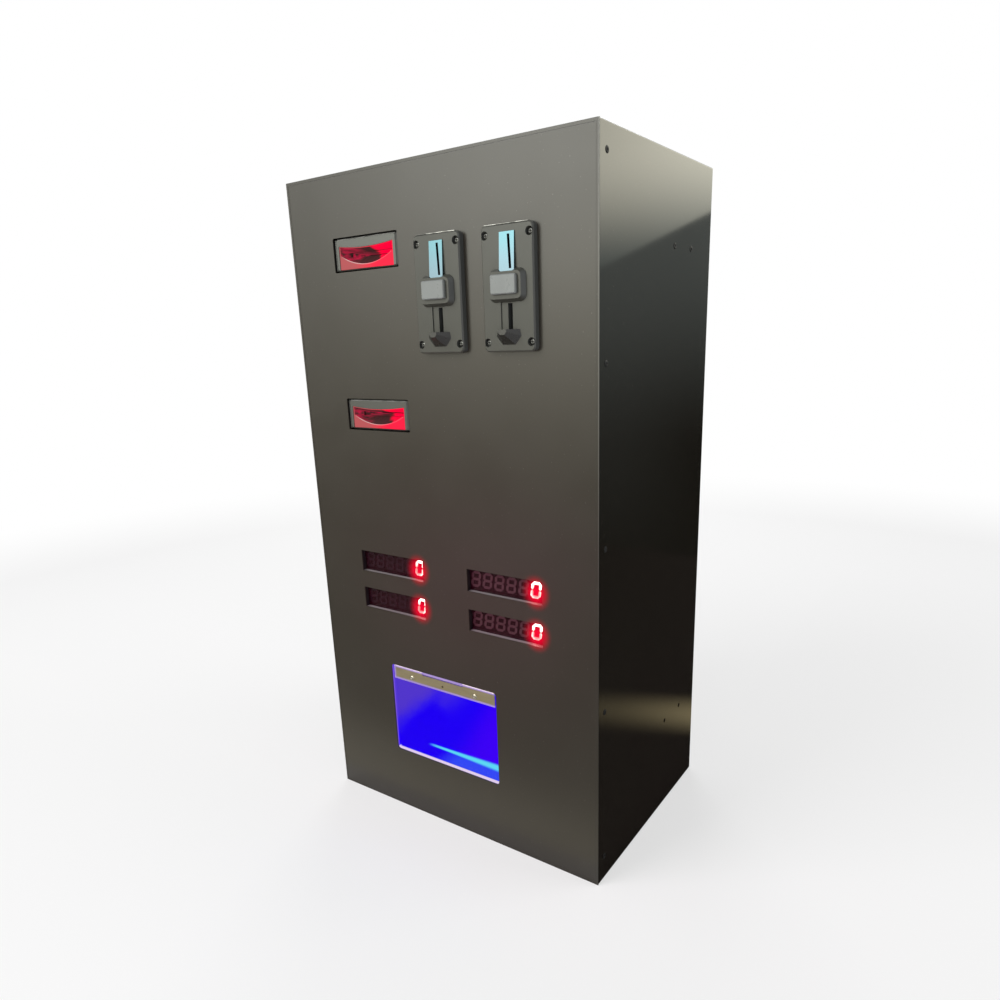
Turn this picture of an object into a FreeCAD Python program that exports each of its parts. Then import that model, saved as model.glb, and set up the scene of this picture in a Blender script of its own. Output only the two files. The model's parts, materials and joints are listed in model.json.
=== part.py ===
import FreeCAD, Part
import math
import os
import re

import Sketcher

# Coin changer dispenser: a steel cabinet with two banknote acceptors, two coin selectors, four number
# displays and a payout pocket behind a clear flap, over two coin hoppers.
#
# Millimetres. X runs to the right, Y into the cabinet, Z up. The origin is the centre of the cabinet's
# underside. Every driving size is one line of SIZES: its name, its value and what it is.

SIZES = [
    ("cabinet_wide", 430, "cabinet width"),
    ("cabinet_deep", 300, "cabinet depth"),
    ("cabinet_tall", 835, "cabinet height"),
    ("sheet_thick", 1.5, "steel sheet of the cabinet"),
    ("bend_radius", 2, "outer radius of the sheet's bends"),
    ("panel_gap", 0.4, "gap between front panel and shell"),
    ("panel_flange", 28, "depth of the front panel's folded edge"),
    ("overrun", 1, "how far a cutting shape runs past the wall it cuts"),
    ("seat_gap", 0.3, "clearance between a sliding or swinging piece and its neighbour"),
    ("running_gap", 0.05, "radial clearance of a pin or shaft in its bore"),
    ("front_screw_inset", 15, "side screws behind the front face"),
    ("front_screw_low", 32.5, "lowest side screw above the underside"),
    ("front_screw_pitch", 194.4, "side screw spacing"),
    ("side_screw_radius", 2.2, "side screw shank"),
    ("rivet_nut_radius", 3.2, "hexagonal rivet nut holes in the front panel"),
    ("side_head_radius", 3.6, "side screw head"),
    ("side_head_proud", 0.8, "side screw head above the sheet"),
    ("side_screw_grip", 9, "side screw length in the cabinet"),
    ("base_hole_radius", 4.5, "bolt holes in the underside"),
    ("base_hole_wide", 340, "bolt hole spacing across"),
    ("base_hole_deep", 200, "bolt hole spacing front to back"),
    ("side_hole_radius", 3, "open holes low in the sides"),
    ("side_hole_front", 45.5, "nearer open side hole behind the middle"),
    ("side_hole_pitch", 51.3, "open side hole spacing"),
    ("side_hole_level", 130.3, "open side holes above the underside"),
    ("board_screw_front", 36.2, "nearer bracket screw behind the middle"),
    ("board_screw_pitch", 49.8, "bracket screw spacing"),
    ("board_screw_level", 737.6, "bracket screws above the underside"),
    ("rear_flange", 20, "frame round the rear doorway"),
    ("rear_sill", 110, "plain rear wall under the doorway"),
    ("frame_lip", 12, "inward lip of the rear doorway"),
    ("door_gap", 1.5, "gap round the rear door"),
    ("door_fold", 12, "folded edge of the rear door"),
    ("vent_wide", 60, "vent slot length"),
    ("vent_tall", 4, "vent slot height"),
    ("vent_pitch", 11, "vent slot spacing"),
    ("vent_low", 600, "lowest vent slot above the underside"),
    ("hinge_leaf_wide", 18, "rear hinge leaf from its axis"),
    ("hinge_long", 60, "rear hinge length"),
    ("hinge_thick", 1.2, "hinge leaf thickness"),
    ("hinge_knuckle", 3.5, "rear hinge knuckle radius"),
    ("hinge_pin_radius", 1.6, "rear hinge pin radius"),
    ("hinge_low", 180, "lower rear hinge above the underside"),
    ("hinge_high", 740, "upper rear hinge above the underside"),
    ("lock_level", 465, "lock above the underside"),
    ("lock_inset", 24, "lock axis from the door's free edge"),
    ("lock_barrel_radius", 9, "lock barrel"),
    ("lock_head_radius", 11.5, "lock head"),
    ("lock_head_thick", 2.5, "lock head thickness"),
    ("lock_barrel_long", 15, "lock barrel inside the door"),
    ("lock_plug_radius", 6, "lock plug"),
    ("key_slot_long", 7, "key slot"),
    ("key_slot_wide", 1.6, "key slot width"),
    ("key_slot_deep", 6, "key slot depth"),
    ("cam_wide", 15, "lock cam width"),
    ("cam_long", 34, "lock cam from its axis"),
    ("cam_thick", 2, "lock cam thickness"),
    ("inlet_across", -130, "mains inlet from the middle"),
    ("inlet_level", 55, "mains inlet above the underside"),
    ("inlet_wide", 28, "mains inlet body width"),
    ("inlet_tall", 48, "mains inlet body height"),
    ("inlet_deep", 26, "mains inlet body depth"),
    ("inlet_flange", 3, "mains inlet flange past its body"),
    ("inlet_flange_thick", 2, "mains inlet flange thickness"),
    ("socket_wide", 22, "socket cavity width"),
    ("socket_tall", 16, "socket cavity height"),
    ("socket_deep", 16, "socket cavity depth"),
    ("socket_drop", 11, "socket centre below the inlet's centre"),
    ("socket_pin", 2, "socket pin width"),
    ("socket_pin_tall", 4, "socket pin height"),
    ("socket_pin_long", 12, "socket pin length"),
    ("socket_pin_pitch", 7, "socket pin spacing"),
    ("rocker_rise", 12, "rocker centre above the inlet's centre"),
    ("rocker_wide", 13, "rocker width"),
    ("rocker_long", 18, "rocker length"),
    ("rocker_well_deep", 9, "rocker well depth"),
    ("rocker_axis_deep", 3.4, "rocker axis below the flange face"),
    ("rocker_tilt", 9, "rocker tilt in degrees"),
    ("rocker_end_rise", 3.2, "rocker end above its axis"),
    ("rocker_middle_rise", 1.4, "rocker middle above its axis"),
    ("rocker_foot_drop", 4, "rocker foot below its axis"),
    ("rocker_foot_half", 3, "rocker foot half length"),
    ("rocker_shoulder_share", 0.95, "rocker's widest level over its half length"),
    ("rocker_pivot_radius", 1.2, "rocker pivot radius"),
    ("rocker_pivot_reach", 1.5, "rocker pivot past each side"),
    ("coin_unit_left", 21.7, "left coin selector from the middle"),
    ("coin_unit_right", 114.1, "right coin selector from the middle"),
    ("coin_unit_level", 692.4, "coin selectors above the underside"),
    ("plate_wide", 64, "coin plate width"),
    ("plate_tall", 125.6, "coin plate height"),
    ("plate_proud", 8, "coin plate thickness"),
    ("plate_corner", 5.5, "coin plate corner radius"),
    ("plate_edge", 1.5, "coin plate edge rounding"),
    ("plate_screw_wide", 54.5, "plate screw spacing across"),
    ("plate_screw_tall", 106, "plate screw spacing up"),
    ("plate_recess_radius", 4.5, "plate screw recess"),
    ("plate_recess_deep", 4.5, "plate screw recess depth"),
    ("plate_bolt_side", 4, "plate bolt's square neck"),
    ("plate_head_radius", 3.7, "plate screw head"),
    ("plate_head_tall", 2.4, "plate screw head height"),
    ("plate_screw_long", 9, "plate screw shank length"),
    ("plate_cutout_wide", 44, "panel cut-out behind a coin plate"),
    ("plate_cutout_tall", 116, "panel cut-out height behind a coin plate"),
    ("insert_wide", 18.3, "coin slot insert width"),
    ("insert_low", 16.9, "insert bottom above the plate's centre"),
    ("insert_tall", 38, "insert height"),
    ("insert_shift", 1, "insert centre right of the plate's centre"),
    ("insert_deep", 5, "insert depth in the plate"),
    ("insert_top_proud", 1, "insert above the plate at its top"),
    ("insert_low_proud", 3, "insert above the plate at its bottom"),
    ("slit_wide", 3, "coin slit width"),
    ("slit_tall", 33, "coin slit height"),
    ("slit_top_shift", 2, "slit top from the insert's centre"),
    ("slit_low_shift", 4.6, "slit bottom from the insert's centre"),
    ("coin_way_wide", 9, "coin passage through the plate"),
    ("block_wide", 39.8, "button block width"),
    ("block_tall", 26.8, "button block height"),
    ("block_low", -10, "button block bottom from the plate's centre"),
    ("block_proud", 6.3, "button block above the plate"),
    ("block_spread", 3, "button block's foot past its face"),
    ("block_shoulder", 5.6, "height of the block's sloping sides"),
    ("block_corner", 5, "button block corner radius"),
    ("button_wide", 31.4, "reject button width"),
    ("button_tall", 19.4, "reject button height"),
    ("button_low", -5.4, "reject button bottom from the plate's centre"),
    ("button_proud", 3.7, "reject button above its block"),
    ("button_corner", 2.2, "reject button corner radius"),
    ("button_edge", 1, "reject button edge rounding"),
    ("button_gap", 0.25, "gap round the reject button"),
    ("button_back", 4, "reject button's back in front of the panel"),
    ("stem_radius", 3, "button stem"),
    ("stem_shift", 9, "button stem left of the plate's centre"),
    ("stem_rear", 24, "button stem's end behind the panel face"),
    ("spring_radius", 4.4, "spring's mean radius"),
    ("spring_wire", 0.5, "half the spring wire's width"),
    ("spring_turns", 3, "spring turns"),
    ("spring_steps", 12, "flat stretches in a turn of the spring"),
    ("spring_well", 6, "spring well radius"),
    ("spring_well_deep", 12, "spring well depth"),
    ("trough_wide", 18.6, "return trough width"),
    ("trough_deep", 1.2, "return trough depth"),
    ("trough_low", -40, "return trough bottom from the plate's centre"),
    ("return_slot_wide", 5.6, "return slot width"),
    ("return_slot_shift", 1.8, "return slot centre from the plate's centre"),
    ("return_slot_low", -50, "return slot bottom from the plate's centre"),
    ("cup_half", 15.5, "return cup half width at its widest"),
    ("cup_top_half", 14, "return cup half width at its top"),
    ("cup_foot_half", 8, "return cup half width at its foot"),
    ("cup_belly", -47, "return cup's widest level"),
    ("cup_foot", -55.5, "return cup's foot level"),
    ("cup_proud", 13, "return cup's lip above the plate"),
    ("cup_lip_share", 0.34, "size of the return cup's lip over its foot's"),
    ("cup_wall", 1.8, "return cup wall"),
    ("selector_nose_wide", 42, "selector nose width"),
    ("selector_nose_tall", 112, "selector nose height"),
    ("selector_nose_deep", 3, "selector nose depth"),
    ("selector_wide", 60, "selector body width"),
    ("selector_tall", 102, "selector body height"),
    ("selector_deep", 62, "selector body depth"),
    ("coin_track", 3.6, "coin track width in the selector"),
    ("coin_track_deep", 36, "coin track depth in the selector"),
    ("lever_axis_deep", 27, "lever axis behind the panel face"),
    ("lever_axis_drop", 15, "lever axis below the stem"),
    ("lever_thick", 4, "lever thickness"),
    ("lever_boss", 4, "lever boss radius"),
    ("lever_pin", 1.5, "lever pin radius"),
    ("lever_nose", 2.7, "lever nose radius"),
    ("lever_arm_half", 1.6, "lever arm half width"),
    ("lever_tail", 26, "lever tail below its axis"),
    ("lever_room_wall", 6, "lever room's inner wall left of the plate's centre"),
    ("lever_room_half", 12, "lever room half depth"),
    ("lever_room_top", 12, "lever room above the stem"),
    ("lever_room_low", 46, "lever room below the stem"),
    ("chute_wide", 16, "coin chute width inside"),
    ("chute_deep", 40, "coin chute depth inside"),
    ("chute_wall", 1, "coin chute wall"),
    ("chute_low", 466, "coin chute's lower end above the underside"),
    ("chute_bend", 560, "level where the chute's front wall turns back"),
    ("chute_foot_deep", 24, "coin chute depth inside at its lower end"),
    ("bill_place_share", -0.2116279, "banknote acceptors from the middle, share of the cabinet's width"),
    ("bill_upper_level", 745.5, "upper banknote acceptor above the underside"),
    ("bill_lower_level", 557, "lower banknote acceptor above the underside"),
    ("bill_cutout_wide", 103, "banknote cut-out width"),
    ("bill_cutout_tall", 39, "banknote cut-out height"),
    ("cutout_corner", 2, "corner radius of the cut-outs"),
    ("bezel_wide", 96.5, "banknote bezel width"),
    ("bezel_tall", 36, "banknote bezel height"),
    ("bezel_deep", 16, "banknote bezel depth"),
    ("bezel_recess", 1, "bezel behind the panel face"),
    ("bezel_corner", 3, "bezel corner radius"),
    ("bezel_edge", 1.4, "bezel edge rounding"),
    ("opening_half", 43.3, "bezel opening half width"),
    ("opening_top", 10, "bezel opening's top at its ends"),
    ("opening_low", -16.8, "bezel opening's bottom"),
    ("mouth_half", 41.8, "banknote mouth half width"),
    ("mouth_top", 9, "mouth top at its ends"),
    ("top_dip", 3, "dip of the opening's and the mouth's top"),
    ("mouth_low", -0.6, "mouth bottom at its ends"),
    ("mouth_dip", 11.6, "dip of the mouth's bottom"),
    ("mouth_steps", 10, "straight stretches along the mouth's bottom"),
    ("mouth_deep", 12, "red throat's back behind the bezel's face"),
    ("throat_inset", 0.7, "red throat behind the bezel's face"),
    ("note_slot_wide", 72, "banknote slot width"),
    ("note_slot_tall", 5.2, "banknote slot height"),
    ("head_wide", 104, "banknote head width"),
    ("head_low", 32, "banknote head below the slot"),
    ("head_high", 40, "banknote head above the slot"),
    ("head_deep", 88, "banknote head depth"),
    ("head_ear", 9, "banknote head's ear width"),
    ("head_rail_thick", 4, "rail shelf under the cash box"),
    ("head_slot_deep", 30, "note way modelled in the head"),
    ("cash_box_wide", 96, "cash box width"),
    ("cash_box_high", 58, "cash box above the slot"),
    ("cash_box_deep", 84, "cash box depth"),
    ("cash_box_grip_wide", 44, "cash box finger recess width"),
    ("cash_box_grip_tall", 16, "cash box finger recess height"),
    ("cash_box_grip_deep", 12, "cash box finger recess depth"),
    ("cash_box_corner", 4, "cash box corner radius"),
    ("cash_box_travel", 40, "cash box travel"),
    ("display_left_share", -0.2025581, "left displays from the middle, share of the cabinet's width"),
    ("display_right_share", 0.2083721, "right displays from the middle, share of the cabinet's width"),
    ("display_upper_level", 362.2, "upper displays above the underside"),
    ("display_lower_level", 310.4, "lower displays above the underside"),
    ("window_wide", 106.5, "display window width"),
    ("window_tall", 28.4, "display window height"),
    ("frame_border", 8, "display frame past its windows"),
    ("frame_deep", 5, "display frame depth"),
    ("filter_thick", 2, "red filter thickness"),
    ("filter_inset", 1, "red filter inside the frame's edge"),
    ("digit_count", 6, "digits a display"),
    ("digit_pitch", 17.2, "digit spacing"),
    ("digit_wide", 16.2, "digit block width"),
    ("digit_tall", 24, "digit block height"),
    ("digit_deep", 6, "digit block depth"),
    ("digit_shift", 3.5, "digit rows left of their windows' centres"),
    ("digit_rise", 1.4, "digit rows above their windows' centres"),
    ("display_board_wide", 114, "display board width"),
    ("display_board_tall", 36, "display board height"),
    ("display_board_thick", 1.6, "display board thickness"),
    ("payout_left", -102, "payout opening's left edge"),
    ("payout_low", 89.4, "payout opening's lower edge"),
    ("payout_wide", 174.5, "payout opening width"),
    ("payout_tall", 130, "payout opening height"),
    ("payout_corner", 5, "payout opening corner radius"),
    ("tray_thick", 1.5, "payout tray sheet"),
    ("tray_flat", 45.5, "flat part of the tray's floor"),
    ("tray_deep", 128.5, "tray depth"),
    ("tray_rise", 54, "rise of the tray's back slope"),
    ("tray_tall", 145.6, "tray height over its floor"),
    ("tray_flange", 12, "tray flange behind the panel"),
    ("flap_axis_drop", 2.9, "flap axis below the payout opening's top"),
    ("flap_axis_deep", 4.4, "flap axis behind the panel face"),
    ("flap_wide", 168, "flap width"),
    ("flap_bottom_gap", 2.6, "flap above the tray's floor"),
    ("flap_top_gap", 4, "flap top below its axis"),
    ("flap_thick", 3, "flap thickness"),
    ("flap_knuckle", 2.6, "flap hinge knuckle radius"),
    ("flap_pin", 1.1, "flap hinge pin radius"),
    ("flap_leaf_tall", 18, "flap hinge leaf from its axis"),
    ("flap_fixed_tall", 15, "fixed leaf from its axis"),
    ("flap_screw_left", -67, "left flap screw from the middle"),
    ("flap_screw_right", 38, "right flap screw from the middle"),
    ("flap_screw_drop", 10.8, "flap screws below the flap's axis"),
    ("flap_head_radius", 3.4, "flap screw head"),
    ("flap_head_tall", 1.6, "flap screw head height"),
    ("flap_screw_radius", 1.5, "flap screw shank"),
    ("flap_nut_radius", 2.8, "flap screw nut"),
    ("flap_nut_tall", 2, "flap screw nut height"),
    ("light_wide", 150, "blue light bar length"),
    ("light_deep", 6, "blue light bar depth"),
    ("light_tall", 9, "blue light bar height"),
    ("light_drop", 20, "blue light bar below the tray's top"),
    ("shelf_level", 241, "hopper shelf's top above the underside"),
    ("shelf_front", -112, "hopper shelf's front edge from the middle"),
    ("shelf_rear", 112, "hopper shelf's rear edge from the middle"),
    ("shelf_fold", 22, "hopper shelf's folded edge"),
    ("hopper_apart", 78, "hopper centre from the middle"),
    ("hopper_back", 6, "hopper centre behind the middle"),
    ("hopper_base_side", 130, "hopper base side"),
    ("hopper_base_tall", 50, "hopper base height"),
    ("hopper_base_corner", 8, "hopper base corner radius"),
    ("disc_radius", 54, "hopper disc radius"),
    ("disc_thick", 5, "hopper disc thickness"),
    ("disc_gap", 1.5, "gap round and under the hopper disc"),
    ("pocket_radius", 14.5, "coin pocket radius"),
    ("pocket_circle", 36, "coin pocket circle radius"),
    ("pocket_count", 4, "coin pockets"),
    ("disc_turn", 45, "disc's resting angle in degrees"),
    ("hub_radius", 13, "disc hub radius"),
    ("hub_tip", 5, "disc hub tip radius"),
    ("hub_tall", 20, "disc hub height"),
    ("fin_thick", 3, "agitator fin thickness"),
    ("fin_reach", 21, "agitator fin reach"),
    ("fin_tall", 9, "agitator fin height"),
    ("disc_shaft_radius", 4, "disc shaft radius"),
    ("disc_shaft_long", 26, "disc shaft length"),
    ("outlet_shift", 26, "coin outlet from the hopper's centre"),
    ("outlet_wide", 33, "coin outlet width"),
    ("outlet_tall", 6.4, "coin outlet height"),
    ("drop_deep", 32, "drop hole in the shelf"),
    ("bowl_bottom_side", 118, "bowl bottom outside"),
    ("bowl_bottom_corner", 34, "bowl bottom corner cut"),
    ("bowl_top_wide", 148, "bowl top width"),
    ("bowl_top_deep", 190, "bowl top depth"),
    ("bowl_top_corner", 12, "bowl top corner cut"),
    ("bowl_tall", 160, "bowl height"),
    ("bowl_forward", 45, "bowl rim in front of the hopper's centre"),
    ("bowl_wall", 2.5, "bowl wall"),
    ("control_board_deep", 76, "control board front to back"),
    ("control_board_tall", 96, "control board height"),
    ("control_board_thick", 1.6, "control board thickness"),
    ("bracket_thick", 8, "control board bracket thickness"),
    ("bracket_tall", 14, "control board bracket height"),
    ("bracket_long", 66, "control board bracket length"),
    ("chip_side", 18, "control board component side"),
    ("chip_tall", 6, "control board component height"),
    ("supply_wide", 160, "power supply length"),
    ("supply_deep", 84, "power supply depth"),
    ("supply_tall", 42, "power supply height"),
    ("supply_left", -30, "power supply's left end from the middle"),
    ("supply_front", 44, "power supply's front from the middle"),
    ("supply_foot", 8, "power supply foot past its case"),
]

NAMES = {name for name, value, note in SIZES}

document = FreeCAD.newDocument("CoinChangerDispenser")
sheet = document.addObject("Spreadsheet::Sheet", "Sizes")
for row, (name, value, note) in enumerate(SIZES, 1):
    sheet.set("A%d" % row, note)
    sheet.set("B%d" % row, str(value))
    sheet.setAlias("B%d" % row, name)
document.recompute()

pieces = []


def formula(text):
    """The expression with every size's name written as a cell of the sheet."""
    return re.sub(r"[a-z][a-z_0-9]*",
                  lambda word: "Sizes." + word.group() if word.group() in NAMES else word.group(), text)


def number(text):
    """What an expression of sizes comes to now."""
    return float(sheet.evalExpression(re.sub(r"Sizes\.", "", formula(text))))


def bind(thing, **properties):
    """Tie properties of a document object to expressions of sizes."""
    for name, text in properties.items():
        thing.setExpression(name.replace("__", "."), formula(text))
    return thing


def new_body(label):
    body = document.addObject("PartDesign::Body", label)
    pieces.append(body)
    return body


def place(body, across="0", back="0", up="0"):
    """Put a piece, built round its own reference point, in the cabinet."""
    return bind(body, Placement__Base__x=across, Placement__Base__y=back, Placement__Base__z=up)


def turn(body, axis, text):
    """Turn a piece about an axis through its own reference point."""
    body.Placement = FreeCAD.Placement(FreeCAD.Vector(), FreeCAD.Rotation(axis, number(text)))
    return bind(body, Placement__Rotation__Angle=text)


def new_sketch(body, plane, level="0"):
    """A sketch on one of the body's own planes. Level runs to the front for XZ, up for XY, right for YZ."""
    sketch = body.newObject("Sketcher::SketchObject", "outline")
    base = next(item for item in body.Origin.OriginFeatures if item.Role == plane + "_Plane")
    sketch.AttachmentSupport = [(base, "")]
    sketch.MapMode = "FlatFace"
    return bind(sketch, AttachmentOffset__Base__z=level)


def hold(sketch, kind, items, text):
    """One dimension of a sketch, tied to an expression."""
    index = sketch.addConstraint(Sketcher.Constraint(kind, *items, number(text)))
    sketch.setExpression("Constraints[%d]" % index, formula(text))


def add_path(sketch, points, arcs=None):
    """A closed outline through points, each a pair of expressions. An arc bulges out of the outline, taken
    anticlockwise, by the radius that arcs gives for the edge after the point, or inwards where it is "in"."""
    arcs = arcs or {}
    spots = [FreeCAD.Vector(number(across), number(up), 0) for across, up in points]
    edges = []
    for index, start in enumerate(spots):
        end = spots[(index + 1) % len(spots)]
        if index in arcs:
            radius, side = arcs[index]
            chord = end - start
            sagitta = number(radius) - math.sqrt(max(number(radius) ** 2 - chord.Length ** 2 / 4, 0))
            outward = FreeCAD.Vector(chord.y, -chord.x, 0).normalize() * (1 if side == "out" else -1)
            edge = sketch.addGeometry(Part.Arc(start, (start + end) * 0.5 + outward * sagitta, end), False)
        else:
            edge = sketch.addGeometry(Part.LineSegment(start, end), False)
        first_gap = sketch.getPoint(edge, 1).distanceToPoint(start)
        forward = first_gap < sketch.getPoint(edge, 2).distanceToPoint(start)
        edges.append((edge, (1, 2) if forward else (2, 1)))
    for index, (edge, (first, last)) in enumerate(edges):
        following, (next_first, next_last) = edges[(index + 1) % len(edges)]
        sketch.addConstraint(Sketcher.Constraint("Coincident", edge, last, following, next_first))
        hold(sketch, "DistanceX", (-1, 1, edge, first), points[index][0])
        hold(sketch, "DistanceY", (-1, 1, edge, first), points[index][1])
        if index in arcs:
            hold(sketch, "Radius", (edge,), arcs[index][0])
    return sketch


def add_rectangle(sketch, left, low, wide, tall):
    right = "(%s) + (%s)" % (left, wide)
    high = "(%s) + (%s)" % (low, tall)
    return add_path(sketch, [(left, low), (right, low), (right, high), (left, high)])


def add_rounded(sketch, left, low, wide, tall, radius):
    """A rectangle with round corners."""
    right = "(%s) + (%s)" % (left, wide)
    high = "(%s) + (%s)" % (low, tall)
    near = "(%s) + (%s)"
    far = "(%s) - (%s)"
    points = [
        (near % (left, radius), low), (far % (right, radius), low),
        (right, near % (low, radius)), (right, far % (high, radius)),
        (far % (right, radius), high), (near % (left, radius), high),
        (left, far % (high, radius)), (left, near % (low, radius)),
    ]
    return add_path(sketch, points, {edge: (radius, "out") for edge in (1, 3, 5, 7)})


def add_square(sketch, across, up, side):
    start = "(%s) - (%s) / 2"
    return add_rectangle(sketch, start % (across, side), start % (up, side), side, side)


def add_polygon(sketch, across, up, radius, sides):
    """A regular polygon, by the radius of its corners, with one of them on its right."""
    points = []
    for corner in range(sides):
        angle = 2 * math.pi * corner / sides
        point = ("%s + %.6f * (%s)" % (across, math.cos(angle), radius),
                 "%s + %.6f * (%s)" % (up, math.sin(angle), radius))
        points.append(point)
    return add_path(sketch, points)


def add_circle(sketch, across, up, radius):
    centre = FreeCAD.Vector(number(across), number(up), 0)
    circle = sketch.addGeometry(Part.Circle(centre, FreeCAD.Vector(0, 0, 1), number(radius)), False)
    hold(sketch, "DistanceX", (-1, 1, circle, 3), across)
    hold(sketch, "DistanceY", (-1, 1, circle, 3), up)
    hold(sketch, "Radius", (circle,), radius)
    return sketch


def add_pad(body, sketch, length, reverse=False):
    """Material from the sketch: to the front for XZ, up for XY, right for YZ, or the other way."""
    feature = body.newObject("PartDesign::Pad", "pad")
    feature.Profile = sketch
    feature.Reversed = reverse
    bind(feature, Length=length)
    document.recompute()
    return feature


def add_pocket(body, sketch, length, reverse=False):
    """A cut from the sketch: to the rear for XZ, down for XY, left for YZ, or the other way."""
    before = body.Tip.Shape.Volume
    feature = body.newObject("PartDesign::Pocket", "pocket")
    feature.Profile = sketch
    feature.Reversed = reverse
    bind(feature, Length=length)
    document.recompute()
    if feature.Shape.Volume >= before:
        raise RuntimeError("a cut in %s removes nothing" % body.Label)
    return feature


def add_revolution(body, sketch, axis):
    feature = body.newObject("PartDesign::Revolution", "turned")
    feature.Profile = sketch
    feature.ReferenceAxis = (sketch, [axis])
    document.recompute()
    return feature


def flat_walled(rings):
    """A solid with a flat wall between each pair of matching edges of two rings of points."""
    bottom, top = rings
    faces = []
    for index in range(len(bottom)):
        following = (index + 1) % len(bottom)
        corners = [bottom[index], bottom[following], top[following], top[index], bottom[index]]
        faces.append(Part.Face(Part.makePolygon(corners)))
    for ring in rings:
        faces.append(Part.Face(Part.makePolygon(ring + ring[:1])))
    return upright(Part.Solid(Part.Shell(faces)))


def faceted(rings):
    """A solid of flat triangles between each ring of points and the next, with flat ends."""
    faces = []
    for lower, upper in zip(rings, rings[1:]):
        for index, corner in enumerate(lower):
            following = (index + 1) % len(lower)
            for third in ([corner, lower[following], upper[following]],
                          [corner, upper[following], upper[index]]):
                faces.append(Part.Face(Part.makePolygon(third + third[:1])))
    for ring in (rings[0], rings[-1]):
        faces.append(Part.Face(Part.makePolygon(ring + ring[:1])))
    return upright(Part.Solid(Part.Shell(faces)))


def upright(solid):
    """The solid with its faces turned outwards."""
    if solid.Volume < 0:
        solid.reverse()
    return solid


def dress_edges(body, kind, pick, **size):
    """A fillet or chamfer on the edges of the body so far that the function picks."""
    base = body.Tip
    names = ["Edge%d" % count for count, edge in enumerate(base.Shape.Edges, 1) if pick(edge)]
    if not names:
        raise RuntimeError("no edge to dress in %s" % body.Label)
    feature = body.newObject("PartDesign::" + kind, kind.lower())
    feature.Base = (base, names)
    bind(feature, **size)
    document.recompute()
    return feature


def round_edges(body, radius, pick):
    return dress_edges(body, "Fillet", pick, Radius=radius)


def bevel_edges(body, width, pick):
    return dress_edges(body, "Chamfer", pick, Size=width)


def slope_edges(body, run, rise, pick):
    """A bevel that takes one width off a face and another off the walls round it."""
    feature = dress_edges(body, "Chamfer", pick, Size=rise, Size2=run)
    feature.ChamferType = "Two distances"
    document.recompute()
    return feature


def runs_along(direction):
    """Picks straight edges along a direction."""
    def pick(edge):
        ends = [vertex.Point for vertex in edge.Vertexes]
        if len(ends) < 2:
            return False
        run = ends[1] - ends[0]
        return run.Length > 0 and abs(run.dot(direction)) / run.Length > 1 - 1e-6
    return pick


def lies_at(axis, level):
    """Picks edges that lie wholly at one level along an axis."""
    lowest, highest = axis + "Min", axis + "Max"
    at = number(level)

    def pick(edge):
        box = edge.BoundBox
        return abs(getattr(box, lowest) - at) < 1e-4 and abs(getattr(box, highest) - at) < 1e-4
    return pick


NUT_SIDES = 6
SCREW_SIDES = 8
RECESS_SIDES = 12
HALF_TURN = 180
QUARTER_TURN = 90
ALONG_X = FreeCAD.Vector(1, 0, 0)
ALONG_Y = FreeCAD.Vector(0, 1, 0)
ALONG_Z = FreeCAD.Vector(0, 0, 1)

FRONT = "-cabinet_deep / 2"
BEHIND_PANEL = "(-cabinet_deep / 2 + sheet_thick)"
INSIDE = "(cabinet_wide / 2 - sheet_thick)"
DOORWAY_HALF = "(cabinet_wide / 2 - rear_flange)"
DOORWAY_TOP = "(cabinet_tall - rear_flange)"
HINGE_BACK = "(cabinet_deep / 2 + hinge_knuckle)"
LOCK_ACROSS = "(cabinet_wide / 2 - rear_flange - door_gap - lock_inset)"
SIDE_SCREW_COUNT = 5
SIDE_SCREWS = ["front_screw_low + %d * front_screw_pitch" % step for step in range(SIDE_SCREW_COUNT)]
COIN_UNITS = {"left": "coin_unit_left", "right": "coin_unit_right"}
BILL_ACROSS = "(bill_place_share * cabinet_wide)"
BILL_UNITS = {"upper": "bill_upper_level", "lower": "bill_lower_level"}
DISPLAY_COLUMNS = {
    "left": "(display_left_share * cabinet_wide)",
    "right": "(display_right_share * cabinet_wide)",
}
DISPLAY_ROWS = {"upper": "display_upper_level", "lower": "display_lower_level"}
HOPPERS = {"left": "-hopper_apart", "right": "hopper_apart"}
OUTLETS = {"left": "outlet_shift", "right": "-outlet_shift"}


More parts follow.
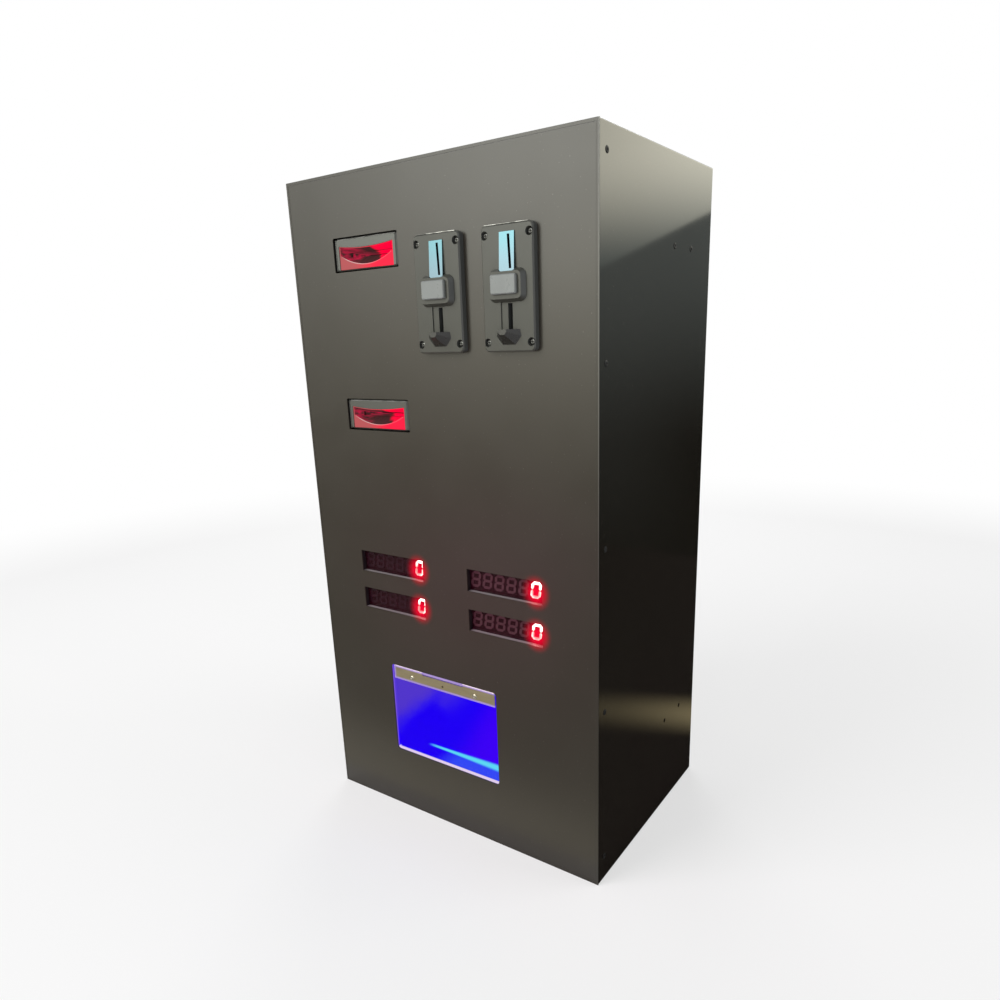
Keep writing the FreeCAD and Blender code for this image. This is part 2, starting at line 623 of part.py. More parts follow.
def cabinet_shell():
    """Sides, top, bottom and rear frame of folded sheet, open at the front."""
    body = new_body("cabinet_shell")
    outline = add_rectangle(new_sketch(body, "XZ", "cabinet_deep / 2"), "-cabinet_wide / 2", "0",
                            "cabinet_wide", "cabinet_tall")
    add_pad(body, outline, "cabinet_deep", reverse=True)
    round_edges(body, "bend_radius", runs_along(ALONG_Y))
    room = new_sketch(body, "XZ", "cabinet_deep / 2")
    add_rectangle(room, "-" + INSIDE, "sheet_thick", "2 * " + INSIDE, "cabinet_tall - 2 * sheet_thick")
    add_pocket(body, room, "cabinet_deep - sheet_thick")
    lip = new_sketch(body, "XZ", "-cabinet_deep / 2 + sheet_thick")
    add_rectangle(lip, "-%s - sheet_thick" % DOORWAY_HALF, "rear_sill - sheet_thick",
                  "2 * (%s + sheet_thick)" % DOORWAY_HALF, "%s - rear_sill + 2 * sheet_thick" % DOORWAY_TOP)
    add_pad(body, lip, "frame_lip")
    doorway = new_sketch(body, "XZ", "-cabinet_deep / 2 + sheet_thick + frame_lip")
    add_rectangle(doorway, "-" + DOORWAY_HALF, "rear_sill", "2 * " + DOORWAY_HALF,
                  DOORWAY_TOP + " - rear_sill")
    add_pocket(body, doorway, "frame_lip + sheet_thick + overrun")
    inlet = new_sketch(body, "XZ", "-cabinet_deep / 2 + sheet_thick + overrun")
    add_rectangle(inlet, "inlet_across - inlet_wide / 2", "inlet_level - inlet_tall / 2", "inlet_wide",
                  "inlet_tall")
    add_pocket(body, inlet, "sheet_thick + 2 * overrun")
    sides = new_sketch(body, "YZ", "cabinet_wide / 2 + overrun")
    for level in SIDE_SCREWS:
        add_polygon(sides, FRONT + " + front_screw_inset", level, "side_screw_radius", SCREW_SIDES)
    for step in ("0", "side_hole_pitch"):
        add_circle(sides, "side_hole_front + " + step, "side_hole_level", "side_hole_radius")
    for step in ("0", "board_screw_pitch"):
        add_polygon(sides, "board_screw_front + " + step, "board_screw_level", "side_screw_radius",
                    SCREW_SIDES)
    add_pocket(body, sides, "cabinet_wide + 2 * overrun")
    floor = new_sketch(body, "XY", "sheet_thick + overrun")
    for across in ("-base_hole_wide / 2", "base_hole_wide / 2"):
        for back in ("-base_hole_deep / 2", "base_hole_deep / 2"):
            add_circle(floor, across, back, "base_hole_radius")
    add_pocket(body, floor, "sheet_thick + 2 * overrun")


def front_panel():
    """A folded tray that closes the front, with the cut-outs of everything that shows."""
    body = new_body("front_panel")
    edge = "(sheet_thick + panel_gap)"
    outline = new_sketch(body, "XZ", "cabinet_deep / 2")
    add_rectangle(outline, "-cabinet_wide / 2 + " + edge, edge, "cabinet_wide - 2 * " + edge,
                  "cabinet_tall - 2 * " + edge)
    add_pad(body, outline, "panel_flange", reverse=True)
    round_edges(body, "bend_radius", lies_at("Y", FRONT))
    room = new_sketch(body, "XZ", "cabinet_deep / 2 - sheet_thick")
    inner = "(2 * sheet_thick + panel_gap)"
    add_rectangle(room, "-cabinet_wide / 2 + " + inner, inner, "cabinet_wide - 2 * " + inner,
                  "cabinet_tall - 2 * " + inner)
    add_pocket(body, room, "panel_flange")
    cuts = new_sketch(body, "XZ", "cabinet_deep / 2 + overrun")
    for level in BILL_UNITS.values():
        add_rounded(cuts, BILL_ACROSS + " - bill_cutout_wide / 2", level + " - bill_cutout_tall / 2",
                    "bill_cutout_wide", "bill_cutout_tall", "cutout_corner")
    for across in COIN_UNITS.values():
        add_rectangle(cuts, across + " - plate_cutout_wide / 2", "coin_unit_level - plate_cutout_tall / 2",
                      "plate_cutout_wide", "plate_cutout_tall")
        for side in ("-", "+"):
            for rise in ("-", "+"):
                add_square(cuts, "%s %s plate_screw_wide / 2" % (across, side),
                           "coin_unit_level %s plate_screw_tall / 2" % rise, "plate_bolt_side")
    for across in DISPLAY_COLUMNS.values():
        for level in DISPLAY_ROWS.values():
            add_rectangle(cuts, across + " - window_wide / 2", level + " - window_tall / 2", "window_wide",
                          "window_tall")
    add_rounded(cuts, "payout_left", "payout_low", "payout_wide", "payout_tall", "payout_corner")
    add_pocket(body, cuts, "sheet_thick + 2 * overrun")
    screws = new_sketch(body, "YZ", "cabinet_wide / 2 + overrun")
    for level in SIDE_SCREWS:
        add_polygon(screws, FRONT + " + front_screw_inset", level, "rivet_nut_radius", NUT_SIDES)
    add_pocket(body, screws, "cabinet_wide + 2 * overrun")


def screw_head(label, radius, tall):
    head = bind(document.addObject("Part::Prism", label + "_head"), Circumradius=radius, Height=tall)
    head.Polygon = SCREW_SIDES
    head.Placement = FreeCAD.Placement(FreeCAD.Vector(), FreeCAD.Rotation(ALONG_X, HALF_TURN))
    return head


def screw(label, radius, head_radius, head_tall, long):
    """A plain screw along its own Z, its head's seat at the origin. It is one of a group."""
    shank = bind(document.addObject("Part::Prism", label + "_shank"), Circumradius=radius, Height=long)
    shank.Polygon = SCREW_SIDES
    head = screw_head(label, head_radius, head_tall)
    whole = document.addObject("Part::Fuse", label)
    whole.Base = shank
    whole.Tool = head
    return whole


def coach_bolt(label, side, head_radius, head_tall, long):
    """A bolt along its own Z with a square neck, its head's seat at the origin. It is one of a group."""
    neck = bind(document.addObject("Part::Box", label + "_neck"), Length=side, Width=side, Height=long)
    place(neck, "-(%s) / 2" % side, "-(%s) / 2" % side)
    head = screw_head(label, head_radius, head_tall)
    whole = document.addObject("Part::Fuse", label)
    whole.Base = neck
    whole.Tool = head
    return whole


def group(label, members):
    """Separate solids that share one node."""
    whole = document.addObject("Part::Compound", label)
    whole.Links = members
    pieces.append(whole)
    return whole


def side_screws():
    members = []
    for side, sign, angle in (("right", "", -QUARTER_TURN), ("left", "-", QUARTER_TURN)):
        spots = [(FRONT + " + front_screw_inset", level) for level in SIDE_SCREWS]
        spots += [("board_screw_front + " + step, "board_screw_level") for step in ("0", "board_screw_pitch")]
        for count, (back, level) in enumerate(spots):
            one = screw("side_screw_%s_%d" % (side, count), "side_screw_radius", "side_head_radius",
                        "side_head_proud", "side_screw_grip")
            one.Placement = FreeCAD.Placement(FreeCAD.Vector(), FreeCAD.Rotation(ALONG_Y, angle))
            place(one, sign + "cabinet_wide / 2", back, level)
            members.append(one)
    group("side_screws", members)


VENT_COUNT = 6


def rear_door():
    """A folded tray in the rear doorway, with vent slots and the lock's hole."""
    body = new_body("rear_door")
    left = "-%s + door_gap" % DOORWAY_HALF
    wide = "(2 * (%s - door_gap))" % DOORWAY_HALF
    low = "rear_sill + door_gap"
    tall = "(%s - rear_sill - 2 * door_gap)" % DOORWAY_TOP
    outline = add_rectangle(new_sketch(body, "XZ", "-cabinet_deep / 2"), left, low, wide, tall)
    add_pad(body, outline, "door_fold")
    room = new_sketch(body, "XZ", "-cabinet_deep / 2 + door_fold")
    add_rectangle(room, left + " + sheet_thick", low + " + sheet_thick", wide + " - 2 * sheet_thick",
                  tall + " - 2 * sheet_thick")
    add_pocket(body, room, "door_fold - sheet_thick")
    cuts = new_sketch(body, "XZ", "-cabinet_deep / 2 + sheet_thick + overrun")
    add_circle(cuts, LOCK_ACROSS, "lock_level", "lock_barrel_radius + running_gap")
    for step in range(VENT_COUNT):
        for across in ("-3 * vent_wide / 2", "vent_wide / 2"):
            add_rectangle(cuts, across, "vent_low + %d * vent_pitch" % step, "vent_wide", "vent_tall")
    add_pocket(body, cuts, "sheet_thick + 2 * overrun")


def hinge_leaf(label, knuckle, bore, wide, thick, long, own_shares):
    """A hinge leaf along +X from an axis along Z, with its back at the knuckle's tangent on the -Y side. Its
    knuckle runs over the given shares of its length and clears the other leaf's."""
    body = new_body(label)
    flat = new_sketch(body, "XY")
    add_rectangle(flat, knuckle + " + seat_gap", "-" + knuckle, "%s - %s - seat_gap" % (wide, knuckle), thick)
    add_pad(body, flat, long)
    for start, end in own_shares:
        level = "%s * %s + seat_gap / 2" % (long, start)
        run = "%s * %s - seat_gap" % (long, end - start)
        web = add_rectangle(new_sketch(body, "XY", level), "0", "-" + knuckle, knuckle + " + 2 * seat_gap",
                            thick)
        add_pad(body, web, run)
        roll = add_circle(new_sketch(body, "XY", level), "0", "0", knuckle)
        add_pad(body, roll, run)
    hole = add_circle(new_sketch(body, "XY", long + " + overrun"), "0", "0", bore)
    add_pocket(body, hole, long + " + 2 * overrun")
    return body


THIRD = 1 / 3
OUTER_THIRDS = [(0, THIRD), (2 * THIRD, 1)]
MIDDLE_THIRD = [(THIRD, 2 * THIRD)]


def rear_hinges():
    """Two butt hinges on the outside of the rear frame and door, their pins fixed in the frame's leaves."""
    pins = []
    frame_leaves = []
    door_leaves = []
    for name, base in (("low", "hinge_low"), ("high", "hinge_high")):
        for owner, members, shares, bore in (
            ("frame", frame_leaves, OUTER_THIRDS, "hinge_pin_radius"),
            ("door", door_leaves, MIDDLE_THIRD, "(hinge_pin_radius + running_gap)"),
        ):
            leaf = hinge_leaf("door_hinge_%s_%s" % (owner, name), "hinge_knuckle", bore, "hinge_leaf_wide",
                              "hinge_thick", "hinge_long", shares)
            pieces.remove(leaf)
            level = base
            if owner == "frame":
                leaf.Placement = FreeCAD.Placement(FreeCAD.Vector(), FreeCAD.Rotation(ALONG_Y, HALF_TURN))
                level += " + hinge_long"
            place(leaf, "-" + DOORWAY_HALF, HINGE_BACK, level)
            members.append(leaf)
        pin = bind(document.addObject("Part::Cylinder", "door_hinge_pin_" + name), Radius="hinge_pin_radius",
                   Height="hinge_long")
        place(pin, "-" + DOORWAY_HALF, HINGE_BACK, base)
        pins.append(pin)
    group("door_hinge_frame_leaves", frame_leaves)
    group("door_hinge_door_leaves", door_leaves)
    group("door_hinge_pins", pins)


def lock():
    """Barrel, plug and cam of the door's lock, along Y, built from the door's outer face at the origin."""
    barrel = new_body("lock_barrel")
    add_pad(barrel, add_circle(new_sketch(barrel, "XZ"), "0", "0", "lock_barrel_radius"), "lock_barrel_long")
    add_pad(barrel, add_circle(new_sketch(barrel, "XZ"), "0", "0", "lock_head_radius"), "lock_head_thick",
            reverse=True)
    bevel_edges(barrel, "lock_head_thick / 2", lies_at("Y", "lock_head_thick"))
    bore = add_circle(new_sketch(barrel, "XZ", "lock_barrel_long + overrun"), "0", "0",
                      "lock_plug_radius + running_gap")
    add_pocket(barrel, bore, "lock_barrel_long + lock_head_thick + 2 * overrun")
    plug = new_body("lock_plug")
    add_pad(plug, add_circle(new_sketch(plug, "XZ", "-lock_head_thick"), "0", "0", "lock_plug_radius"),
            "lock_head_thick + lock_barrel_long + seat_gap")
    key = new_sketch(plug, "XZ", "-lock_head_thick + key_slot_deep")
    add_rectangle(key, "-key_slot_wide / 2", "-key_slot_long / 2", "key_slot_wide", "key_slot_long")
    add_pocket(plug, key, "key_slot_deep + overrun")
    cam = new_body("lock_cam")
    level = "lock_barrel_long + seat_gap"
    add_pad(cam, add_circle(new_sketch(cam, "XZ", level), "0", "0", "cam_wide / 2"), "cam_thick")
    arm = add_rectangle(new_sketch(cam, "XZ", level), "-cam_wide / 2", "-cam_long", "cam_wide", "cam_long")
    add_pad(cam, arm, "cam_thick")
    for piece in (barrel, plug, cam):
        place(piece, LOCK_ACROSS, "cabinet_deep / 2", "lock_level")


def mains_inlet():
    """The inlet module: a flange outside the rear wall, a socket with three pins, and the switch's well."""
    body = new_body("mains_inlet")
    flange = new_sketch(body, "XZ")
    add_rounded(flange, "-inlet_wide / 2 - inlet_flange", "-inlet_tall / 2 - inlet_flange",
                "inlet_wide + 2 * inlet_flange", "inlet_tall + 2 * inlet_flange", "inlet_flange")
    add_pad(body, flange, "inlet_flange_thick", reverse=True)
    case = add_rectangle(new_sketch(body, "XZ"), "-inlet_wide / 2", "-inlet_tall / 2", "inlet_wide",
                         "inlet_tall")
    add_pad(body, case, "inlet_deep")
    socket = new_sketch(body, "XZ", "-inlet_flange_thick + socket_deep")
    add_rectangle(socket, "-socket_wide / 2", "-socket_drop - socket_tall / 2", "socket_wide", "socket_tall")
    add_pocket(body, socket, "socket_deep + overrun")
    pins = new_sketch(body, "XZ", "-inlet_flange_thick + socket_deep")
    for across in ("-socket_pin_pitch", "0", "socket_pin_pitch"):
        add_rectangle(pins, across + " - socket_pin / 2", "-socket_drop - socket_pin_tall / 2", "socket_pin",
                      "socket_pin_tall")
    add_pad(body, pins, "socket_pin_long", reverse=True)
    well = new_sketch(body, "XZ", "-inlet_flange_thick + rocker_well_deep")
    add_rectangle(well, "-rocker_wide / 2 - seat_gap", "rocker_rise - rocker_long / 2 - overrun",
                  "rocker_wide + 2 * seat_gap", "rocker_long + 2 * overrun")
    add_pocket(body, well, "rocker_well_deep + overrun")
    pivot = new_sketch(body, "YZ", "rocker_wide / 2 + rocker_pivot_reach + seat_gap")
    add_circle(pivot, "inlet_flange_thick - rocker_axis_deep", "rocker_rise",
               "rocker_pivot_radius + running_gap")
    add_pocket(body, pivot, "rocker_wide + 2 * rocker_pivot_reach + 2 * seat_gap")
    place(body, "inlet_across", "cabinet_deep / 2", "inlet_level")


def power_rocker():
    """The switch's rocker, built about its axis along X and set at one end of its tilt."""
    body = new_body("power_rocker")
    side = new_sketch(body, "YZ", "-rocker_wide / 2")
    shoulder = "rocker_long / 2 * rocker_shoulder_share"
    add_path(side, [
        ("-rocker_foot_drop", "-rocker_foot_half"), ("-rocker_middle_rise / 2", "-" + shoulder),
        ("rocker_end_rise", "-rocker_long / 2"), ("rocker_middle_rise", "0"), ("rocker_end_rise",
                                                                               "rocker_long / 2"),
        ("-rocker_middle_rise / 2", shoulder), ("-rocker_foot_drop", "rocker_foot_half"),
    ])
    add_pad(body, side, "rocker_wide")
    pivot = add_circle(new_sketch(body, "YZ", "-rocker_wide / 2 - rocker_pivot_reach"), "0", "0",
                       "rocker_pivot_radius")
    add_pad(body, pivot, "rocker_wide + 2 * rocker_pivot_reach")
    turn(body, ALONG_X, "-rocker_tilt")
    place(body, "inlet_across", "cabinet_deep / 2 + inlet_flange_thick - rocker_axis_deep",
          "inlet_level + rocker_rise")


BLOCK_FACE = "(plate_proud + block_proud)"
BUTTON_FACE = "(plate_proud + block_proud + button_proud)"
BUTTON_MIDDLE = "(button_low + button_tall / 2)"


def coin_plate(side, across):
    """The cast front plate: screw recesses, the button's block, the coin way, the return trough and slot."""
    body = new_body("coin_plate_" + side)
    outline = new_sketch(body, "XZ")
    add_rounded(outline, "-plate_wide / 2", "-plate_tall / 2", "plate_wide", "plate_tall", "plate_corner")
    add_pad(body, outline, "plate_proud")
    bevel_edges(body, "plate_edge", lies_at("Y", "-plate_proud"))
    block = new_sketch(body, "XZ", "plate_proud - overrun")
    add_rounded(block, "-block_wide / 2 - block_spread", "block_low - block_spread",
                "block_wide + 2 * block_spread",
                "block_tall + 2 * block_spread", "block_corner + block_spread")
    add_pad(body, block, "block_proud + overrun")
    slope_edges(body, "block_spread", "block_shoulder", lies_at("Y", "-" + BLOCK_FACE))
    trough = new_sketch(body, "XZ", "plate_proud")
    add_rectangle(trough, "-trough_wide / 2", "trough_low", "trough_wide",
                  "block_low - block_spread - trough_low")
    add_pocket(body, trough, "trough_deep")
    seat = new_sketch(body, "XZ", BLOCK_FACE)
    add_rectangle(seat, "insert_shift - insert_wide / 2", "insert_low", "insert_wide", "insert_tall")
    add_pocket(body, seat, "block_proud + insert_deep")
    ways = new_sketch(body, "XZ", BUTTON_FACE)
    add_rectangle(ways, "insert_shift + slit_top_shift - coin_way_wide / 2",
                  "insert_low + (insert_tall - slit_tall) / 2",
                  "coin_way_wide", "slit_tall")
    add_rounded(ways, "-button_wide / 2 - button_gap", "button_low - button_gap",
                "button_wide + 2 * button_gap",
                "button_tall + 2 * button_gap", "button_corner + button_gap")
    add_rectangle(ways, "return_slot_shift - return_slot_wide / 2", "return_slot_low", "return_slot_wide",
                  "block_low - block_spread - return_slot_low - overrun")
    for sign in ("-", ""):
        for rise in ("-", ""):
            add_square(ways, sign + "plate_screw_wide / 2", rise + "plate_screw_tall / 2", "plate_bolt_side")
    add_pocket(body, ways, BUTTON_FACE + " + overrun")
    recesses = new_sketch(body, "XZ", "plate_proud + overrun")
    for sign in ("-", ""):
        for rise in ("-", ""):
            add_polygon(recesses, sign + "plate_screw_wide / 2", rise + "plate_screw_tall / 2",
                        "plate_recess_radius", RECESS_SIDES)
    add_pocket(body, recesses, "plate_recess_deep + overrun")
    place(body, across, FRONT, "coin_unit_level")


def coin_slot_insert(side, across):
    """The bright wedge that carries the leaning coin slit."""
    body = new_body("coin_slot_insert_" + side)
    profile = new_sketch(body, "YZ", "insert_shift - insert_wide / 2")
    high = "insert_low + insert_tall"
    back = "insert_deep - plate_proud"
    add_path(profile, [
        (back, "insert_low"), (back, high),
        ("-plate_proud - insert_top_proud", high), ("-plate_proud - insert_low_proud", "insert_low"),
    ])
    add_pad(body, profile, "insert_wide")
    slit = new_sketch(body, "XZ", BUTTON_FACE)
    low = "insert_low + (insert_tall - slit_tall) / 2"
    left = "insert_shift - slit_wide / 2 + "
    right = "insert_shift + slit_wide / 2 + "
    add_path(slit, [
        (left + "slit_low_shift", low), (right + "slit_low_shift", low),
        (right + "slit_top_shift", low + " + slit_tall"), (left + "slit_top_shift", low + " + slit_tall"),
    ])
    add_pocket(body, slit, BUTTON_FACE)
    place(body, across, FRONT, "coin_unit_level")


def reject_button(side, across):
    """The button's cap and the stem that reaches the lever."""
    body = new_body("reject_button_" + side)
    cap = new_sketch(body, "XZ", "button_back")
    add_rounded(cap, "-button_wide / 2", "button_low", "button_wide", "button_tall", "button_corner")
    add_pad(body, cap, BUTTON_FACE + " - button_back")
    bevel_edges(body, "button_edge", lies_at("Y", "-" + BUTTON_FACE))
    stem = add_polygon(new_sketch(body, "XZ", "button_back"), "-stem_shift", BUTTON_MIDDLE, "stem_radius",
                       SCREW_SIDES)
    add_pad(body, stem, "button_back + stem_rear", reverse=True)
    place(body, across, FRONT, "coin_unit_level")


def reject_spring(side, across):
    """A compression spring of square wire round the stem, from the well's floor to the button's back."""
    half = number("spring_wire")
    coil = number("spring_radius")
    long = number("button_back + spring_well_deep - 2 * spring_wire")
    steps = int(number("spring_turns * spring_steps"))
    rings = []
    for step in range(steps + 1):
        angle = 2 * math.pi * number("spring_turns") * step / steps
        level = half + long * step / steps
        ring = []
        for side_step, rise in ((-1, -1), (1, -1), (1, 1), (-1, 1)):
            out = coil + side_step * half
            ring.append(FreeCAD.Vector(out * math.cos(angle), level + rise * half, out * math.sin(angle)))
        rings.append(ring)
    piece = document.addObject("Part::Feature", "reject_spring_" + side)
    piece.Shape = faceted(rings)
    place(piece, across + " - stem_shift", FRONT + " - button_back", "coin_unit_level + " + BUTTON_MIDDLE)
    pieces.append(piece)


LEVER_AXIS = "(%s - lever_axis_drop)" % BUTTON_MIDDLE


def reject_lever(side, across):
    """The lever that the stem tips. It turns about X, on the pin of the selector's housing."""
    body = new_body("reject_lever_" + side)
    start = "-lever_room_wall - seat_gap - lever_thick"
    boss = add_circle(new_sketch(body, "YZ", start), "0", "0", "lever_boss")
    add_pad(body, boss, "lever_thick")
    arm = new_sketch(body, "YZ", start)
    add_rectangle(arm, "-lever_arm_half", "-lever_tail", "2 * lever_arm_half", "lever_tail + lever_axis_drop")
    add_pad(body, arm, "lever_thick")
    nose = add_circle(new_sketch(body, "YZ", start), "0", "lever_axis_drop", "lever_nose")
    add_pad(body, nose, "lever_thick")
    bore = add_circle(new_sketch(body, "YZ", "0"), "0", "0", "lever_pin + running_gap")
    add_pocket(body, bore, "selector_wide")
    place(body, across, FRONT + " + lever_axis_deep", "coin_unit_level + " + LEVER_AXIS)


def cup_ring(inset, over, share, level):
    """The corners of the return cup's six sides, shrunk to a share about the middle of its top."""
    top = number("trough_low") + over
    foot = number("cup_foot") + inset
    spots = [
        (inset / 2 - number("cup_foot_half"), foot), (number("cup_foot_half") - inset / 2, foot),
        (number("cup_half") - inset, number("cup_belly")), (number("cup_top_half") - inset, top),
        (inset - number("cup_top_half"), top), (inset - number("cup_half"), number("cup_belly")),
    ]
    middle = number("trough_low")
    return [FreeCAD.Vector(across * share, -level, middle + (up - middle) * share) for across, up in spots]


def return_cup(side, across):
    """The V-shaped scoop under the trough, open at its top and against the plate."""
    foot = number("plate_proud")
    tip = foot + number("cup_proud")
    wall = number("cup_wall")
    share = number("cup_lip_share")
    over = number("overrun")
    piece = document.addObject("Part::Feature", "return_cup_" + side)
    outer = flat_walled([cup_ring(0, 0, 1, foot), cup_ring(0, 0, share, tip)])
    inner = flat_walled([cup_ring(wall, over, 1, foot), cup_ring(wall, over, share, tip - wall)])
    piece.Shape = outer.cut(inner)
    place(piece, across, FRONT, "coin_unit_level")
    pieces.append(piece)


def coin_selector_body(side, across):
    """The selector's housing: its nose meets the plate through the panel, its coin track runs from the slit
    to the chute, and the lever's room is open at its left side."""
    body = new_body("coin_selector_body_" + side)
    nose = new_sketch(body, "XZ")
    add_rectangle(nose, "-selector_nose_wide / 2", "-selector_nose_tall / 2", "selector_nose_wide",
                  "selector_nose_tall")
    add_pad(body, nose, "selector_nose_deep", reverse=True)
    case = new_sketch(body, "XZ", "-selector_nose_deep")
    add_rectangle(case, "-selector_wide / 2", "-selector_tall / 2", "selector_wide", "selector_tall")
    add_pad(body, case, "selector_deep", reverse=True)
    track = new_sketch(body, "XZ", "overrun")
    middle = "insert_shift + slit_top_shift"
    add_rectangle(track, middle + " - coin_track / 2", "-selector_nose_tall / 2 - overrun", "coin_track",
                  "selector_nose_tall / 2 + overrun + insert_low + slit_tall")
    add_pocket(body, track, "coin_track_deep + overrun")
    well = add_polygon(new_sketch(body, "XZ", "overrun"), "-stem_shift", BUTTON_MIDDLE, "spring_well",
                       RECESS_SIDES)
    add_pocket(body, well, "spring_well_deep + overrun")
    room = new_sketch(body, "YZ", "-lever_room_wall")
    add_rectangle(room, "lever_axis_deep - lever_room_half", BUTTON_MIDDLE + " - lever_room_low",
                  "2 * lever_room_half", "lever_room_low + lever_room_top")
    add_pocket(body, room, "selector_wide")
    bore = add_polygon(new_sketch(body, "XZ", "overrun"), "-stem_shift", BUTTON_MIDDLE,
                       "stem_radius + seat_gap", SCREW_SIDES)
    add_pocket(body, bore, "lever_axis_deep + overrun")
    pin = add_circle(new_sketch(body, "YZ", "-lever_room_wall"), "lever_axis_deep", LEVER_AXIS, "lever_pin")
    add_pad(body, pin, "lever_thick + 4 * seat_gap", reverse=True)
    place(body, across, FRONT, "coin_unit_level")


def coin_plate_screws():
    members = []
    for side, across in COIN_UNITS.items():
        for sign in ("-", "+"):
            for rise in ("-", "+"):
                one = coach_bolt("plate_bolt_%s_%d" % (side, len(members)), "plate_bolt_side",
                                 "plate_head_radius", "plate_head_tall", "plate_screw_long")
                place(one, "%s %s plate_screw_wide / 2" % (across, sign),
                      FRONT + " - plate_proud + plate_recess_deep",
                      "coin_unit_level %s plate_screw_tall / 2" % rise)
                members.append(one)
    for one in members:
        one.Placement = FreeCAD.Placement(one.Placement.Base, FreeCAD.Rotation(ALONG_X, -QUARTER_TURN))
    group("coin_plate_screws", members)


def coin_chutes():
    """Two drop channels from the selectors to the right hopper, their front walls turned back at the foot."""
    members = []
    high = "coin_unit_level - selector_tall / 2"
    foot = "(chute_deep - chute_foot_deep)"
    for side, across in COIN_UNITS.items():
        body = new_body("coin_chute_" + side)
        pieces.remove(body)
        outside = new_sketch(body, "YZ", "-chute_wide / 2 - chute_wall")
        add_path(outside, [
            (foot + " - chute_wall", "chute_low"), ("chute_deep + chute_wall", "chute_low"),
            ("chute_deep + chute_wall", high), ("-chute_wall", high), ("-chute_wall", "chute_bend"),
        ])
        add_pad(body, outside, "chute_wide + 2 * chute_wall")
        inside = new_sketch(body, "YZ", "chute_wide / 2")
        add_path(inside, [
            (foot, "chute_low - overrun"), ("chute_deep", "chute_low - overrun"),
            ("chute_deep", high + " + overrun"), ("0", high + " + overrun"),
            ("0", "chute_bend"), (foot, "chute_low"),
        ])
        add_pocket(body, inside, "chute_wide")
        place(body, across + " + insert_shift + slit_top_shift", FRONT + " + selector_nose_deep + chute_wall")
        members.append(body)
    group("coin_chutes", members)


def opening_outline(sketch, inset):
    """The bezel's opening: straight sides and bottom and a dipped top, inside its edge by the inset."""
    half = "(opening_half - %s)" % inset
    low = "opening_low + " + inset
    high = "opening_top - " + inset
    radius = "((%s) ^ 2 + top_dip ^ 2) / (2 * top_dip)" % half
    return add_path(sketch, [("-" + half, low), (half, low), (half, high), ("-" + half, high)],
                    {2: (radius, "in")})


def bill_bezel(name, level):
    """The snout that shows in the cut-out: rounded, with the throat's opening and the slot behind it."""
    body = new_body("bill_bezel_" + name)
    outline = new_sketch(body, "XZ", "-bezel_recess")
    add_rounded(outline, "-bezel_wide / 2", "-bezel_tall / 2", "bezel_wide", "bezel_tall", "bezel_corner")
    add_pad(body, outline, "bezel_deep", reverse=True)
    bevel_edges(body, "bezel_edge", lies_at("Y", "bezel_recess"))
    add_pocket(body, opening_outline(new_sketch(body, "XZ", "overrun - bezel_recess"), "0"),
               "mouth_deep + overrun")
    slot = new_sketch(body, "XZ", "-bezel_recess")
    add_rectangle(slot, "-note_slot_wide / 2", "-note_slot_tall / 2", "note_slot_wide", "note_slot_tall")
    add_pocket(body, slot, "bezel_deep + overrun")
    place(body, BILL_ACROSS, FRONT, level)


def sagging_row(half, low, dip, steps):
    """Points from left to right along a shallow arc that hangs down by the dip."""
    shares = [2 * step / steps - 1 for step in range(steps + 1)]
    return [(half * share, low - dip * (1 - share ** 2)) for share in shares]


def bill_funnel(name):
    """The way in through the throat, from the crescent mouth down to the slot. It is cut from the throat."""
    steps = int(number("mouth_steps"))
    mouth = sagging_row(number("mouth_half"), number("mouth_low"), number("mouth_dip"), steps)
    mouth += sagging_row(-number("mouth_half"), number("mouth_top"), number("top_dip"), steps)
    half = number("note_slot_wide / 2")
    slot = sagging_row(half, -number("note_slot_tall / 2"), 0, steps)
    slot += sagging_row(-half, number("note_slot_tall / 2"), 0, steps)
    front = number("bezel_recess + throat_inset")
    rings = []
    for outline, level in ((mouth, front), (slot, number("bezel_recess + mouth_deep"))):
        rings.append([FreeCAD.Vector(across, level, up) for across, up in outline])
    piece = document.addObject("Part::Feature", "bill_funnel_" + name)
    piece.Shape = faceted(rings)
    return piece


def bill_throat(name, level):
    """The red light guide in the bezel's opening: a lip under the mouth and a funnel to the slot."""
    body = new_body("bill_guide_" + name)
    pieces.remove(body)
    front = "-bezel_recess - throat_inset"
    add_pad(body, opening_outline(new_sketch(body, "XZ", front), "seat_gap"), "mouth_deep - throat_inset",
            reverse=True)
    cut = document.addObject("Part::Cut", "bill_throat_" + name)
    cut.Base = body
    cut.Tool = bill_funnel(name)
    pieces.append(place(cut, BILL_ACROSS, FRONT, level))


HEAD_FRONT = "(bezel_recess + bezel_deep)"


